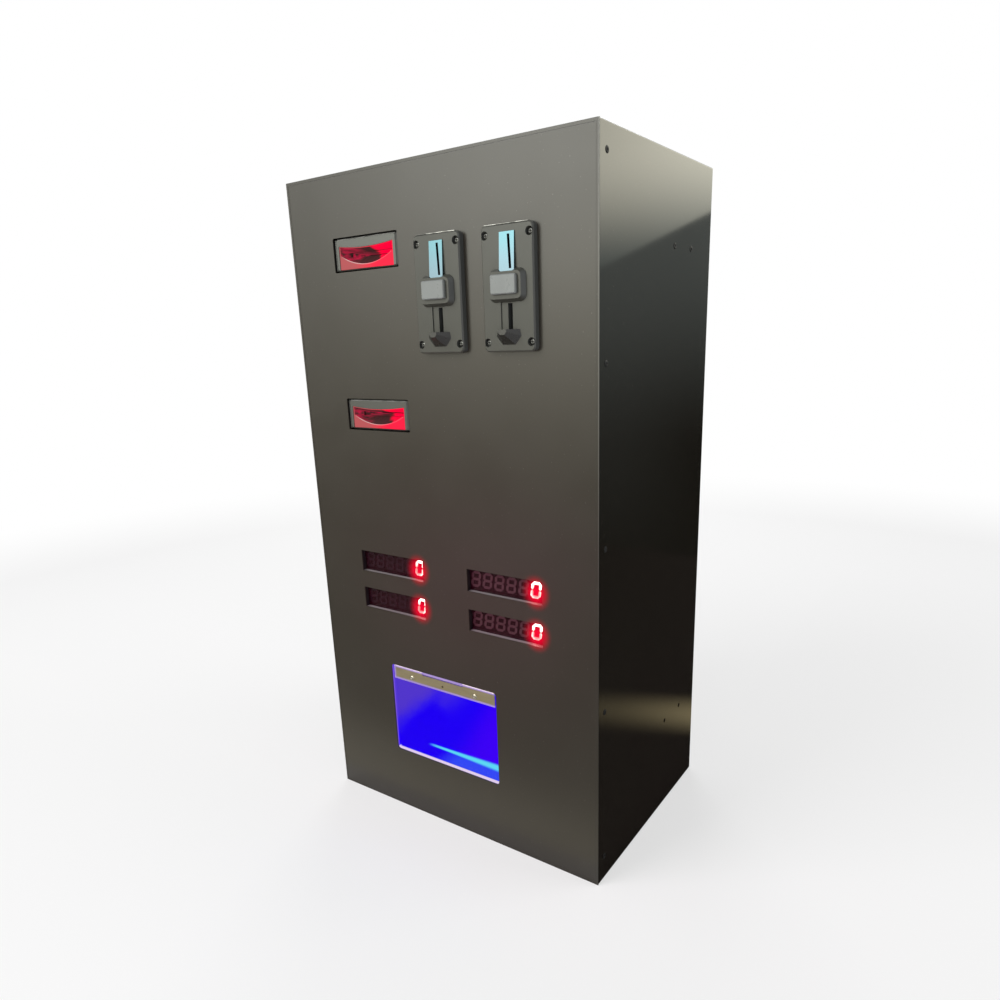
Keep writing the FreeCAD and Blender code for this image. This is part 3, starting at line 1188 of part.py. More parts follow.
def bill_head(name, level):
    """The validator head: ears that meet the panel, the note way and the rail shelf under the cash box."""
    body = new_body("bill_head_" + name)
    case = new_sketch(body, "XZ", "-" + HEAD_FRONT)
    add_rectangle(case, "-head_wide / 2", "-head_low", "head_wide", "head_low + head_high")
    add_pad(body, case, "head_deep", reverse=True)
    ears = new_sketch(body, "XZ", "-sheet_thick")
    for left in ("-head_wide / 2 - head_ear", "head_wide / 2"):
        add_rectangle(ears, left, "-bezel_tall / 2", "head_ear", "bezel_tall")
    webs = new_sketch(body, "XZ", "-" + HEAD_FRONT)
    for left in ("-head_wide / 2 - head_ear", "head_wide / 2 - head_ear"):
        add_rectangle(webs, left, "-bezel_tall / 2", "2 * head_ear", "bezel_tall")
    add_pad(body, webs, "head_ear", reverse=True)
    add_pad(body, ears, HEAD_FRONT + " - sheet_thick + overrun", reverse=True)
    shelf = new_sketch(body, "XZ", "-" + HEAD_FRONT)
    add_rectangle(shelf, "-head_wide / 2", "-head_low - head_rail_thick", "head_wide", "head_rail_thick")
    add_pad(body, shelf, "head_deep + cash_box_deep + cash_box_travel / 2", reverse=True)
    slot = new_sketch(body, "XZ", "-" + HEAD_FRONT + " + overrun")
    add_rectangle(slot, "-note_slot_wide / 2", "-note_slot_tall / 2", "note_slot_wide", "note_slot_tall")
    add_pocket(body, slot, "head_slot_deep + overrun")
    place(body, BILL_ACROSS, FRONT, level)


def bill_cash_box(name, level):
    """The note box behind the head, on the head's rail shelf, with a finger recess at its rear."""
    body = new_body("bill_cash_box_" + name)
    front = "-%s - head_deep - seat_gap" % HEAD_FRONT
    case = new_sketch(body, "XZ", front)
    add_rectangle(case, "-cash_box_wide / 2", "-head_low + seat_gap", "cash_box_wide",
                  "head_low - seat_gap + cash_box_high")
    add_pad(body, case, "cash_box_deep", reverse=True)
    round_edges(body, "cash_box_corner", runs_along(ALONG_Y))
    grip = new_sketch(body, "XZ", front + " - cash_box_deep + cash_box_grip_deep")
    add_rectangle(grip, "-cash_box_grip_wide / 2", "cash_box_high - 2 * cash_box_grip_tall",
                  "cash_box_grip_wide", "cash_box_grip_tall")
    add_pocket(body, grip, "cash_box_grip_deep + overrun")
    place(body, BILL_ACROSS, FRONT, level)


DISPLAY_LOW = "(display_lower_level - window_tall / 2)"
DISPLAY_SPAN = "(display_upper_level - display_lower_level + window_tall)"


def display_frame(side, across):
    """The spacer behind a column of two windows."""
    body = new_body("display_frame_" + side)
    outline = new_sketch(body, "XZ", "-sheet_thick")
    add_rectangle(outline, "-window_wide / 2 - frame_border", "-frame_border",
                  "window_wide + 2 * frame_border", DISPLAY_SPAN + " + 2 * frame_border")
    for row in DISPLAY_ROWS.values():
        add_rectangle(outline, "-window_wide / 2", "%s - display_lower_level" % row, "window_wide",
                      "window_tall")
    add_pad(body, outline, "frame_deep", reverse=True)
    place(body, across, FRONT, DISPLAY_LOW)


def display_filters():
    """A red filter sheet behind each column's frame."""
    members = []
    for side, across in DISPLAY_COLUMNS.items():
        pane = bind(document.addObject("Part::Box", "display_filter_" + side),
                    Length="window_wide + 2 * (frame_border - filter_inset)", Width="filter_thick",
                    Height=DISPLAY_SPAN + " + 2 * (frame_border - filter_inset)")
        place(pane, across + " - window_wide / 2 - frame_border + filter_inset",
              FRONT + " + sheet_thick + frame_deep",
              DISPLAY_LOW + " - frame_border + filter_inset")
        members.append(pane)
    group("display_filters", members)


def display_board(side, across, row, level):
    """A circuit board with its digit blocks, which meet the filter."""
    body = new_body("display_board_%s_%s" % (side, row))
    digits = new_sketch(body, "XZ", "-sheet_thick - frame_deep - filter_thick")
    for step in range(int(number("digit_count"))):
        add_rectangle(digits, "(%d - (digit_count - 1) / 2) * digit_pitch - digit_wide / 2" % step,
                      "-digit_tall / 2",
                      "digit_wide", "digit_tall")
    board = new_sketch(body, "XZ", "-sheet_thick - frame_deep - filter_thick - digit_deep")
    add_rectangle(board, "-display_board_wide / 2", "-display_board_tall / 2", "display_board_wide",
                  "display_board_tall")
    add_pad(body, board, "display_board_thick", reverse=True)
    add_pad(body, digits, "digit_deep", reverse=True)
    place(body, across + " - digit_shift", FRONT, level + " + digit_rise")


def payout_tray():
    """The pocket's folded tray: floor, back slope, sides and the flange behind the panel. Open at its top."""
    body = new_body("payout_tray")
    outside = new_sketch(body, "YZ", "payout_left - tray_thick")
    front = BEHIND_PANEL
    back = "(%s + tray_deep)" % front
    low = "(payout_low - tray_thick)"
    high = "(payout_low + tray_tall)"
    add_path(outside, [
        (front, low), (front + " + tray_flat", low), (back, low + " + tray_rise"), (back, high), (front,
                                                                                                  high),
    ])
    add_pad(body, outside, "payout_wide + 2 * tray_thick")
    flange = new_sketch(body, "XZ", "cabinet_deep / 2 - sheet_thick")
    add_rectangle(flange, "payout_left - tray_flange", "payout_low - tray_flange",
                  "payout_wide + 2 * tray_flange", "payout_tall + tray_flange")
    add_pad(body, flange, "tray_thick", reverse=True)
    inside = new_sketch(body, "YZ", "payout_left + payout_wide")
    near = front + " - overrun"
    add_path(inside, [
        (near, "payout_low"), (front + " + tray_flat", "payout_low"),
        (back + " - tray_thick", "payout_low + tray_rise - tray_thick / 2"),
        (back + " - tray_thick", high + " + overrun"), (near, high + " + overrun"),
    ])
    add_pocket(body, inside, "payout_wide")


FLAP_AXIS_BACK = "(-cabinet_deep / 2 + flap_axis_deep)"
FLAP_AXIS_UP = "(payout_low + payout_tall - flap_axis_drop)"
FLAP_LEFT = "(payout_left + (payout_wide - flap_wide) / 2)"


def payout_flap():
    """The clear flap, hung behind its hinge leaf."""
    body = new_body("payout_flap")
    outline = new_sketch(body, "XZ", "flap_knuckle - hinge_thick")
    add_rectangle(outline, "0", "-(%s - payout_low - flap_bottom_gap)" % FLAP_AXIS_UP, "flap_wide",
                  "%s - payout_low - flap_bottom_gap - flap_top_gap" % FLAP_AXIS_UP)
    add_pad(body, outline, "flap_thick", reverse=True)
    holes = new_sketch(body, "XZ", "flap_knuckle")
    for across in ("flap_screw_left", "flap_screw_right"):
        add_polygon(holes, "%s - %s" % (across, FLAP_LEFT), "-flap_screw_drop", "flap_screw_radius",
                    SCREW_SIDES)
    add_pocket(body, holes, "flap_thick + flap_knuckle + overrun")
    place(body, FLAP_LEFT, FLAP_AXIS_BACK, FLAP_AXIS_UP)


FLAP_OUTER_SHARES = [(0, 0.3), (0.7, 1)]
FLAP_MIDDLE_SHARE = [(0.3, 0.7)]


def flap_hinge():
    """The flap's piano hinge: a leaf in front of the flap, a fixed leaf behind the panel, and a pin."""
    for label, turns, tall, own, bore in (
        ("flap_hinge_moving_leaf", "moving", "flap_leaf_tall", FLAP_OUTER_SHARES, "(flap_pin + running_gap)"),
        ("flap_hinge_fixed_leaf", "fixed", "flap_fixed_tall", FLAP_MIDDLE_SHARE, "flap_pin"),
    ):
        leaf = hinge_leaf(label, "flap_knuckle", bore, tall, "hinge_thick", "flap_wide", own)
        if turns == "moving":
            holes = new_sketch(leaf, "XZ", "flap_knuckle + overrun")
            for across in ("flap_screw_left", "flap_screw_right"):
                add_polygon(holes, "flap_screw_drop", "%s - %s" % (across, FLAP_LEFT), "flap_screw_radius",
                            SCREW_SIDES)
            add_pocket(leaf, holes, "hinge_thick + 2 * overrun")
            rotation = FreeCAD.Rotation(FreeCAD.Vector(0, 0, -1), FreeCAD.Vector(0, 1, 0),
                                        FreeCAD.Vector(1, 0, 0), "ZYX")
            leaf.Placement = FreeCAD.Placement(FreeCAD.Vector(), rotation)
            place(leaf, FLAP_LEFT, FLAP_AXIS_BACK, FLAP_AXIS_UP)
        else:
            rotation = FreeCAD.Rotation(FreeCAD.Vector(0, 0, 1), FreeCAD.Vector(0, 1, 0),
                                        FreeCAD.Vector(-1, 0, 0), "ZYX")
            leaf.Placement = FreeCAD.Placement(FreeCAD.Vector(), rotation)
            place(leaf, FLAP_LEFT + " + flap_wide", FLAP_AXIS_BACK, FLAP_AXIS_UP)
    pin = bind(document.addObject("Part::Cylinder", "flap_hinge_pin"), Radius="flap_pin", Height="flap_wide")
    pin.Placement = FreeCAD.Placement(FreeCAD.Vector(), FreeCAD.Rotation(ALONG_Y, QUARTER_TURN))
    place(pin, FLAP_LEFT, FLAP_AXIS_BACK, FLAP_AXIS_UP)
    pieces.append(pin)


def hopper_shelf():
    """The folded shelf between the cabinet's sides, with the drop holes over the payout tray."""
    body = new_body("hopper_shelf")
    outline = new_sketch(body, "XZ", "-shelf_front")
    within = "(%s - sheet_thick)" % INSIDE
    fold = "shelf_level - shelf_fold"
    under = "shelf_level - sheet_thick"
    add_path(outline, [
        ("-" + INSIDE, fold), ("-" + within, fold), ("-" + within, under), (within, under), (within, fold),
        (INSIDE, fold), (INSIDE, "shelf_level"), ("-" + INSIDE, "shelf_level"),
    ])
    add_pad(body, outline, "shelf_rear - shelf_front", reverse=True)
    holes = new_sketch(body, "XY", "shelf_level + overrun")
    for side, across in HOPPERS.items():
        add_rectangle(holes, "%s + %s - outlet_wide / 2" % (across, OUTLETS[side]),
                      "hopper_back - hopper_base_side / 2 - drop_deep",
                      "outlet_wide", "drop_deep")
    add_pocket(body, holes, "sheet_thick + 2 * overrun")


DISC_LEVEL = "(hopper_base_tall - disc_thick - disc_gap)"


def hopper_base(side, across):
    """The hopper's drive housing, with the disc's recess, the shaft's bore and the coin outlet."""
    body = new_body("hopper_base_" + side)
    outline = new_sketch(body, "XY")
    half = "-hopper_base_side / 2"
    add_rounded(outline, half, half, "hopper_base_side", "hopper_base_side", "hopper_base_corner")
    add_pad(body, outline, "hopper_base_tall")
    recess = add_circle(new_sketch(body, "XY", "hopper_base_tall + overrun"), "0", "0",
                        "disc_radius + disc_gap")
    add_pocket(body, recess, "outlet_tall + disc_gap + overrun")
    bore = add_circle(new_sketch(body, "XY", "hopper_base_tall"), "0", "0", "disc_shaft_radius + running_gap")
    add_pocket(body, bore, "disc_thick + disc_gap + disc_shaft_long + overrun")
    outlet = new_sketch(body, "XZ", "hopper_base_side / 2 + overrun")
    add_rectangle(outlet, OUTLETS[side] + " - outlet_wide / 2", "hopper_base_tall - outlet_tall - disc_gap",
                  "outlet_wide", "outlet_tall")
    add_pocket(body, outlet, "hopper_base_side / 2 - hub_radius")
    place(body, across, "hopper_back", "shelf_level")


def hopper_disc(side, across):
    """The dispensing disc: coin pockets round a conical hub with agitator fins, on the motor's shaft."""
    body = new_body("hopper_disc_" + side)
    add_pad(body, add_circle(new_sketch(body, "XY"), "0", "0", "disc_radius"), "disc_thick")
    round_pocket = new_sketch(body, "XY", "disc_thick + overrun")
    add_circle(round_pocket, "pocket_circle", "0", "pocket_radius")
    pocket = add_pocket(body, round_pocket, "disc_thick + 2 * overrun")
    pattern = body.newObject("PartDesign::PolarPattern", "pockets")
    pattern.Originals = [pocket]
    pattern.Axis = (next(f for f in body.Origin.OriginFeatures if f.Role == "Z_Axis"), [""])
    bind(pattern, Occurrences="pocket_count")
    body.Tip = pattern
    document.recompute()
    profile = new_sketch(body, "XZ")
    add_path(profile, [
        ("0", "-disc_shaft_long"), ("disc_shaft_radius", "-disc_shaft_long"),
        ("disc_shaft_radius", "0"), ("hub_radius", "disc_thick"), ("hub_radius", "disc_thick + fin_tall"),
        ("hub_tip", "disc_thick + hub_tall"), ("0", "disc_thick + hub_tall"),
    ])
    add_revolution(body, profile, "V_Axis")
    fin = new_sketch(body, "XY", "disc_thick - overrun")
    add_rectangle(fin, "-fin_reach", "-fin_thick / 2", "2 * fin_reach", "fin_thick")
    add_pad(body, fin, "fin_tall + overrun")
    turn(body, ALONG_Z, "disc_turn")
    place(body, across, "hopper_back", "shelf_level + " + DISC_LEVEL)


def eight_sided(wide, deep, corner, forward, level):
    """The corners of a rectangle, moved to the front, whose own corners are cut off at 45 degrees."""
    across = number(wide) / 2
    back = number(deep) / 2
    cut = number(corner)
    spots = [
        (cut - across, -back), (across - cut, -back), (across, cut - back), (across, back - cut),
        (across - cut, back), (cut - across, back), (-across, back - cut), (-across, cut - back),
    ]
    return [FreeCAD.Vector(along, behind - number(forward), number(level)) for along, behind in spots]


def hopper_bowl(side, across):
    """The coin bowl of flat walls, from an eight-sided mouth over the disc up and forward to its rim."""
    outer = flat_walled([
        eight_sided("bowl_bottom_side", "bowl_bottom_side", "bowl_bottom_corner", "0", "0"),
        eight_sided("bowl_top_wide", "bowl_top_deep", "bowl_top_corner", "bowl_forward", "bowl_tall"),
    ])
    room = "%s - 2 * bowl_wall"
    corner = "%s - bowl_wall / 2"
    foot_side = room % "bowl_bottom_side"
    inner = flat_walled([
        eight_sided(foot_side, foot_side, corner % "bowl_bottom_corner", "0", "0"),
        eight_sided(room % "bowl_top_wide", room % "bowl_top_deep", corner % "bowl_top_corner",
                    "bowl_forward", "bowl_tall"),
    ])
    piece = document.addObject("Part::Feature", "hopper_bowl_" + side)
    piece.Shape = outer.cut(inner)
    place(piece, across, "hopper_back", "shelf_level + hopper_base_tall")
    pieces.append(piece)


def flap_screws():
    """Two screws that clamp the flap to its leaf, with their nuts."""
    members = []
    for name, across in (("left", "flap_screw_left"), ("right", "flap_screw_right")):
        one = screw("flap_screw_body_" + name, "flap_screw_radius", "flap_head_radius", "flap_head_tall",
                    "hinge_thick + flap_thick + flap_nut_tall")
        one.Placement = FreeCAD.Placement(FreeCAD.Vector(), FreeCAD.Rotation(ALONG_X, -QUARTER_TURN))
        place(one, across, FLAP_AXIS_BACK + " - flap_knuckle", FLAP_AXIS_UP + " - flap_screw_drop")
        nut = bind(document.addObject("Part::Prism", "flap_nut_" + name), Circumradius="flap_nut_radius",
                   Height="flap_nut_tall")
        nut.Placement = FreeCAD.Placement(FreeCAD.Vector(), FreeCAD.Rotation(ALONG_X, -QUARTER_TURN))
        place(nut, across, FLAP_AXIS_BACK + " - flap_knuckle + hinge_thick + flap_thick",
              FLAP_AXIS_UP + " - flap_screw_drop")
        whole = document.addObject("Part::Fuse", "flap_screw_" + name)
        whole.Base = one
        whole.Tool = nut
        members.append(whole)
    group("flap_screws", members)


def block(label, wide, deep, tall, across, back, up):
    piece = bind(document.addObject("Part::Box", label), Length=wide, Width=deep, Height=tall)
    return place(piece, across, back, up)


def payout_light():
    back = BEHIND_PANEL + " + tray_deep - tray_thick - light_deep"
    piece = block("payout_light", "light_wide", "light_deep", "light_tall",
                  "payout_left + (payout_wide - light_wide) / 2", back, "payout_low + tray_tall - light_drop")
    pieces.append(piece)


def control_board():
    """The board on its bracket against the right side, with its larger components."""
    wall = INSIDE
    back = "board_screw_front + board_screw_pitch / 2"
    bracket = block("board_bracket", "bracket_thick", "bracket_long", "bracket_tall",
                    wall + " - bracket_thick",
                    back + " - bracket_long / 2", "board_screw_level - bracket_tall / 2")
    face = wall + " - bracket_thick - control_board_thick"
    board = block("board_sheet", "control_board_thick", "control_board_deep", "control_board_tall", face,
                  back + " - control_board_deep / 2", "board_screw_level - control_board_tall / 2")
    parts = [bracket, board]
    for count, (run, rise) in enumerate(((-1, -1), (1, -1), (0, 1))):
        spot = "%s + %d * chip_side - chip_side / 2"
        parts.append(block("board_chip_%d" % count, "chip_tall", "chip_side", "chip_side",
                           face + " - chip_tall",
                           spot % (back, run), spot % ("board_screw_level", rise)))
    whole = document.addObject("Part::MultiFuse", "control_board_solid")
    whole.Shapes = parts
    holes = []
    for step in ("0", "board_screw_pitch"):
        hole = bind(document.addObject("Part::Prism", "board_screw_hole"), Circumradius="side_screw_radius",
                    Height="side_screw_grip + overrun")
        hole.Polygon = SCREW_SIDES
        hole.Placement = FreeCAD.Placement(FreeCAD.Vector(), FreeCAD.Rotation(ALONG_Y, -QUARTER_TURN))
        place(hole, "cabinet_wide / 2", "board_screw_front + " + step, "board_screw_level")
        holes.append(hole)
    drill = document.addObject("Part::MultiFuse", "board_screw_holes")
    drill.Shapes = holes
    cut = document.addObject("Part::Cut", "control_board")
    cut.Base = whole
    cut.Tool = drill
    pieces.append(cut)


def power_supply():
    """The power supply on the cabinet's floor."""
    case = block("supply_case", "supply_wide", "supply_deep", "supply_tall", "supply_left", "supply_front",
                 "sheet_thick")
    foot = block("supply_feet", "supply_wide + 2 * supply_foot", "supply_deep / 2", "sheet_thick",
                 "supply_left - supply_foot",
                 "supply_front + supply_deep / 4", "sheet_thick")
    whole = document.addObject("Part::Fuse", "power_supply")
    whole.Base = case
    whole.Tool = foot
    pieces.append(whole)


cabinet_shell()
front_panel()
side_screws()
rear_door()
rear_hinges()
lock()
mains_inlet()
power_rocker()
for side, across in COIN_UNITS.items():
    for piece in (coin_plate, coin_slot_insert, reject_button, reject_spring, reject_lever, return_cup,
                  coin_selector_body):
        piece(side, across)
coin_plate_screws()
coin_chutes()
for name, level in BILL_UNITS.items():
    for piece in (bill_bezel, bill_throat, bill_head, bill_cash_box):
        piece(name, level)
for side, across in DISPLAY_COLUMNS.items():
    display_frame(side, across)
    for row, level in DISPLAY_ROWS.items():
        display_board(side, across, row, level)
display_filters()
payout_tray()
payout_flap()
flap_hinge()
flap_screws()
payout_light()
hopper_shelf()
for side, across in HOPPERS.items():
    for piece in (hopper_base, hopper_disc, hopper_bowl):
        piece(side, across)
control_board()
power_supply()

document.recompute()
failed = []
for item in document.Objects:
    if "Invalid" in item.State or "Error" in item.State:
        owner = item.getParentGeoFeatureGroup()
        failed.append("%s of %s" % (item.Label, owner.Label if owner else "the document"))
if failed:
    raise RuntimeError("these objects failed: " + ", ".join(failed))
for piece in pieces:
    if piece.Shape.isNull() or not piece.Shape.isValid():
        raise RuntimeError("the shape of %s is not sound" % piece.Label)

os.makedirs("parts", exist_ok=True)
for piece in pieces:
    piece.Shape.exportStep("parts/%s.step" % piece.Label)
print("%d nodes" % len(pieces))
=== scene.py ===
import json
import math

import bmesh
import bpy
from mathutils import Matrix, Quaternion, Vector


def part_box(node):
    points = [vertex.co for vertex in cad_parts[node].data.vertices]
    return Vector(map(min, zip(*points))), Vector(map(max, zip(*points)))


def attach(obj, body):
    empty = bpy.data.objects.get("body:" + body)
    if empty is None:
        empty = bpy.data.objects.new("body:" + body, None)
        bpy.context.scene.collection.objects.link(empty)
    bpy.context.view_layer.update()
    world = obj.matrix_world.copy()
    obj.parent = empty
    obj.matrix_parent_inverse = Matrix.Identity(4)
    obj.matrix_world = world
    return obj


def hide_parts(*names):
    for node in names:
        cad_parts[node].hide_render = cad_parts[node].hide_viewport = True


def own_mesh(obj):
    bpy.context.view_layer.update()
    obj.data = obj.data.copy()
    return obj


# The looks of the coin changer: finishes for every solid, and the small pieces on them.
# Lengths are metres in the frame's own axes: X to the right, Y into the cabinet, Z up.

MM = 0.001

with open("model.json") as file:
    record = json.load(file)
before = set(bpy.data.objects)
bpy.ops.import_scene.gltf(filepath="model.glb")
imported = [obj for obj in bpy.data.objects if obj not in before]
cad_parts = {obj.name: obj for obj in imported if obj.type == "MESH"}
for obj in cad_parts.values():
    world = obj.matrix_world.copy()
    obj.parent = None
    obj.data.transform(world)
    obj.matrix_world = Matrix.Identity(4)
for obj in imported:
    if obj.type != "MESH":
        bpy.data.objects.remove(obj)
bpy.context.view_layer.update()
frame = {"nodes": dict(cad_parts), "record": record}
nodes = frame["nodes"]


def middle(name):
    """The centre of a solid's box."""
    low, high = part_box(name)
    return (low + high) / 2


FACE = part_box("front_panel")[0].y
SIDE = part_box("cabinet_shell")[1].x
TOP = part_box("cabinet_shell")[1].z


# Camera

CAMERA_AT = (0.564, -0.827, 0.647)
CAMERA_LOOKS = (-0.5557, 0.7852, -0.2732)
CAMERA_ROLL = 2.1
CAMERA_LENS = 26.74
CAMERA_SHIFT = (0.0016, 0.0462)


def make_camera():
    """The photograph's view: its place, tilt and lens come from the cabinet's corners."""
    forward = Vector(CAMERA_LOOKS).normalized()
    level = forward.cross(Vector((0, 0, 1))).normalized()
    right = Quaternion(forward, math.radians(CAMERA_ROLL)) @ level
    above = right.cross(forward)
    data = bpy.data.cameras.new("camera")
    data.lens = CAMERA_LENS
    data.shift_x, data.shift_y = CAMERA_SHIFT
    data.clip_start = 0.05
    camera = bpy.data.objects.new("camera", data)
    turned = Matrix((right, above, -forward)).transposed().to_4x4()
    camera.matrix_world = Matrix.Translation(CAMERA_AT) @ turned
    bpy.context.scene.collection.objects.link(camera)
    bpy.context.scene.camera = camera


# Materials

class Look:
    """One material's node tree, with short ways to add to it."""

    def __init__(self, name, **sockets):
        self.material = bpy.data.materials.new(name)
        self.material.use_nodes = True
        self.tree = self.material.node_tree
        self.shader = self.tree.nodes["Principled BSDF"]
        self.here = self.put("ShaderNodeTexCoord").outputs["Object"]
        self.set(**sockets)

    def feed(self, socket, value):
        if isinstance(value, bpy.types.NodeSocket):
            self.tree.links.new(value, socket)
        else:
            socket.default_value = value

    def put(self, kind, sockets=None, **settings):
        made = self.tree.nodes.new(kind)
        for name, value in settings.items():
            setattr(made, name, value)
        for name, value in (sockets or {}).items():
            self.feed(made.inputs[name], value)
        return made

    def set(self, **sockets):
        """Shader sockets by name, with underscores for spaces. A colour may leave out its alpha."""
        for name, value in sockets.items():
            if isinstance(value, tuple) and len(value) == 3:
                value = (*value, 1)
            self.feed(self.shader.inputs[name.replace("_", " ")], value)

    def noise(self, scale, detail=2.0, rough=0.5, stretch=(1, 1, 1)):
        """Noise with the given number of cells a metre, drawn out along an axis by a small stretch."""
        coordinates = self.put("ShaderNodeMapping", {"Vector": self.here, "Scale": stretch}).outputs[0]
        return self.put("ShaderNodeTexNoise", {
            "Vector": coordinates, "Scale": scale, "Detail": detail, "Roughness": rough}).outputs["Fac"]

    def part(self, axis):
        """The place along one axis."""
        return self.put("ShaderNodeSeparateXYZ", {"Vector": self.here}).outputs[axis]

    def ease(self, value, low, high, to_low=0.0, to_high=1.0):
        """A smooth step between two values."""
        return self.put("ShaderNodeMapRange", {
            "Value": value, "From Min": low, "From Max": high, "To Min": to_low, "To Max": to_high},
            interpolation_type="SMOOTHSTEP").outputs[0]

    def sum(self, kind, first, second):
        """One math node of the given kind."""
        return self.put("ShaderNodeMath", {0: first, 1: second}, operation=kind).outputs[0]

    def vectors(self, kind, first, second=(0, 0, 0), output="Vector"):
        """One vector math node of the given kind."""
        return self.put("ShaderNodeVectorMath", {0: first, 1: second}, operation=kind).outputs[output]

    def plus(self, first, second):
        return self.sum("ADD", first, second)

    def times(self, first, second):
        return self.sum("MULTIPLY", first, second)

    def most(self, first, second):
        return self.sum("MAXIMUM", first, second)

    def apart(self, first, second):
        """How far two values are from each other."""
        return self.sum("ABSOLUTE", self.sum("SUBTRACT", first, second), 0.0)

    def facing(self, axis, low, high):
        """From 0 to 1 as the surface turns to face along an axis."""
        normal = self.put("ShaderNodeNewGeometry").outputs["Normal"]
        return self.ease(self.put("ShaderNodeSeparateXYZ", {"Vector": normal}).outputs[axis], low, high)

    def blend(self, share, first, second):
        """One colour turning to another as the share goes from 0 to 1."""
        made = self.put("ShaderNodeMix", data_type="RGBA")
        for index, value in ((0, share), (6, first), (7, second)):
            if isinstance(value, tuple) and len(value) == 3:
                value = (*value, 1)
            self.feed(made.inputs[index], value)
        return made.outputs[2]

    def relief(self, height, depth, strength=1.0):
        """Bump from a height between 0 and 1, of the given depth."""
        bump = self.put("ShaderNodeBump", {"Height": height, "Distance": depth, "Strength": strength})
        self.feed(self.shader.inputs["Normal"], bump.outputs[0])


def shade(colour, by):
    return tuple(channel * by for channel in colour)


def paint(name, colour, rough, specular, grain=1100, relief=0.5, edges=False):
    """Powder coat: a fine even grain, faint clouds and a few specks of dust. Edges that face the front may
    be duller."""
    look = Look(name, Specular_IOR_Level=specular)
    clouds = look.noise(7, 4, 0.6)
    smears = look.noise(16, 3, 0.5)
    specks = look.ease(look.noise(520, 0), 0.78, 0.84)
    base = look.blend(clouds, shade(colour, 0.9), shade(colour, 1.1))
    dusty = look.blend(look.times(specks, 0.25), base, (0.22, 0.21, 0.19))
    gloss = look.ease(smears, 0.3, 0.7, rough * 0.92, rough * 1.08)
    if edges:
        gloss = look.most(gloss, look.times(look.facing("Y", -0.5, -0.8), 0.5))
    look.set(Base_Color=dusty, Roughness=gloss)
    look.relief(look.noise(grain, 1), 0.03 * MM, relief)
    return look.material


BRUSHED_ALONG_X = (0.012, 1, 1)


def brushed(name, colour, rough):
    """Brushed metal, with its lines from left to right."""
    look = Look(name, Metallic=1.0)
    lines = look.noise(2600, 2, 0.7, BRUSHED_ALONG_X)
    clouds = look.noise(30, 3)
    base = look.blend(lines, shade(colour, 0.78), shade(colour, 1.16))
    look.set(Base_Color=look.blend(look.times(clouds, 0.4), base, shade(colour, 0.7)),
             Roughness=look.ease(lines, 0.2, 0.8, rough * 0.8, rough * 1.25))
    look.relief(lines, 0.01 * MM, 0.4)
    return look.material


def plated(name, colour, rough, metal=1.0):
    """Plated or cast metal, even, with faint pits and clouds."""
    look = Look(name, Metallic=metal)
    clouds = look.noise(60, 4, 0.6)
    look.set(Base_Color=look.blend(clouds, shade(colour, 0.86), shade(colour, 1.1)),
             Roughness=look.ease(look.noise(240, 3), 0.3, 0.7, rough * 0.8, rough * 1.25))
    look.relief(look.noise(1500, 2), 0.02 * MM, 0.35)
    return look.material


def plastic(name, colour, rough, specular=0.5, grain=1800, depth=0.02):
    """Moulded plastic with a fine spark-eroded grain."""
    look = Look(name, Specular_IOR_Level=specular)
    clouds = look.noise(25, 3)
    look.set(Base_Color=look.blend(clouds, shade(colour, 0.88), shade(colour, 1.12)),
             Roughness=look.ease(look.noise(120, 3), 0.3, 0.7, rough * 0.9, rough * 1.12))
    look.relief(look.noise(grain, 2), depth * MM, 0.5)
    return look.material


def zinc():
    """Galvanised sheet with its large soft crystals."""
    look = Look("galvanised", Metallic=0.9)
    cells = look.put("ShaderNodeTexVoronoi", {"Vector": look.here, "Scale": 110.0}).outputs["Color"]
    grey = look.put("ShaderNodeRGBToBW", {"Color": cells}).outputs[0]
    look.set(Base_Color=look.blend(grey, (0.42, 0.43, 0.44), (0.62, 0.63, 0.64)),
             Roughness=look.ease(grey, 0.0, 1.0, 0.32, 0.48))
    look.relief(look.noise(500, 3), 0.02 * MM, 0.3)
    return look.material


def throat_glow(look, node):
    """The light within a throat: bright red at the right, a dark middle, dim streaks at the left."""
    low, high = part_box(node)
    across = look.sum("DIVIDE", look.sum("SUBTRACT", look.part("X"), low.x), high.x - low.x)
    up = look.sum("DIVIDE", look.sum("SUBTRACT", look.part("Z"), low.z), high.z - low.z)
    deep = look.times(look.sum("SUBTRACT", look.part("Y"), low.y), 0.75 / (high.x - low.x))
    swayed = look.plus(across, look.ease(look.noise(60, 1, 0.5), 0.25, 0.75, -0.035, 0.035))
    slanted = look.plus(look.plus(swayed, deep), look.ease(up, 0.55, 1.0, 0.0, 0.16))
    right = look.ease(slanted, 0.70, 0.78)
    streaks = look.ease(look.noise(150, 1, 0.5, (0.22, 1, 1.6)), 0.32, 0.68)
    left = look.times(look.ease(swayed, 0.42, 0.24), streaks)
    inside = look.blend(left, (0.037, 0.015, 0.015), (0.42, 0.010, 0.045))
    return swayed, look.blend(right, inside, (1.0, 0.0, 0.04))


def light_guide(name, node):
    """Red translucent plastic lit from its right end, the light painted in as glow, with its lip painted to
    glow pink.
    """
    look = Look(name, Roughness=0.4, Specular_IOR_Level=0.1)
    front_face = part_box(node)[0].y
    swayed, inner = throat_glow(look, node)
    # Painted glow: the lip's front shines pale pink at the left and red at the right.
    lip = look.ease(look.part("Y"), front_face + 0.0002, front_face + 0.0001)
    front = look.blend(look.ease(swayed, 0.2, 0.7), (0.46, 0.09, 0.095), (1.0, 0.004, 0.05))
    look.set(Base_Color=(0.02, 0.004, 0.005), Emission_Color=look.blend(lip, inner, front),
             Emission_Strength=1.0)
    look.relief(look.noise(500, 2), 0.02 * MM, 0.4)
    return look.material


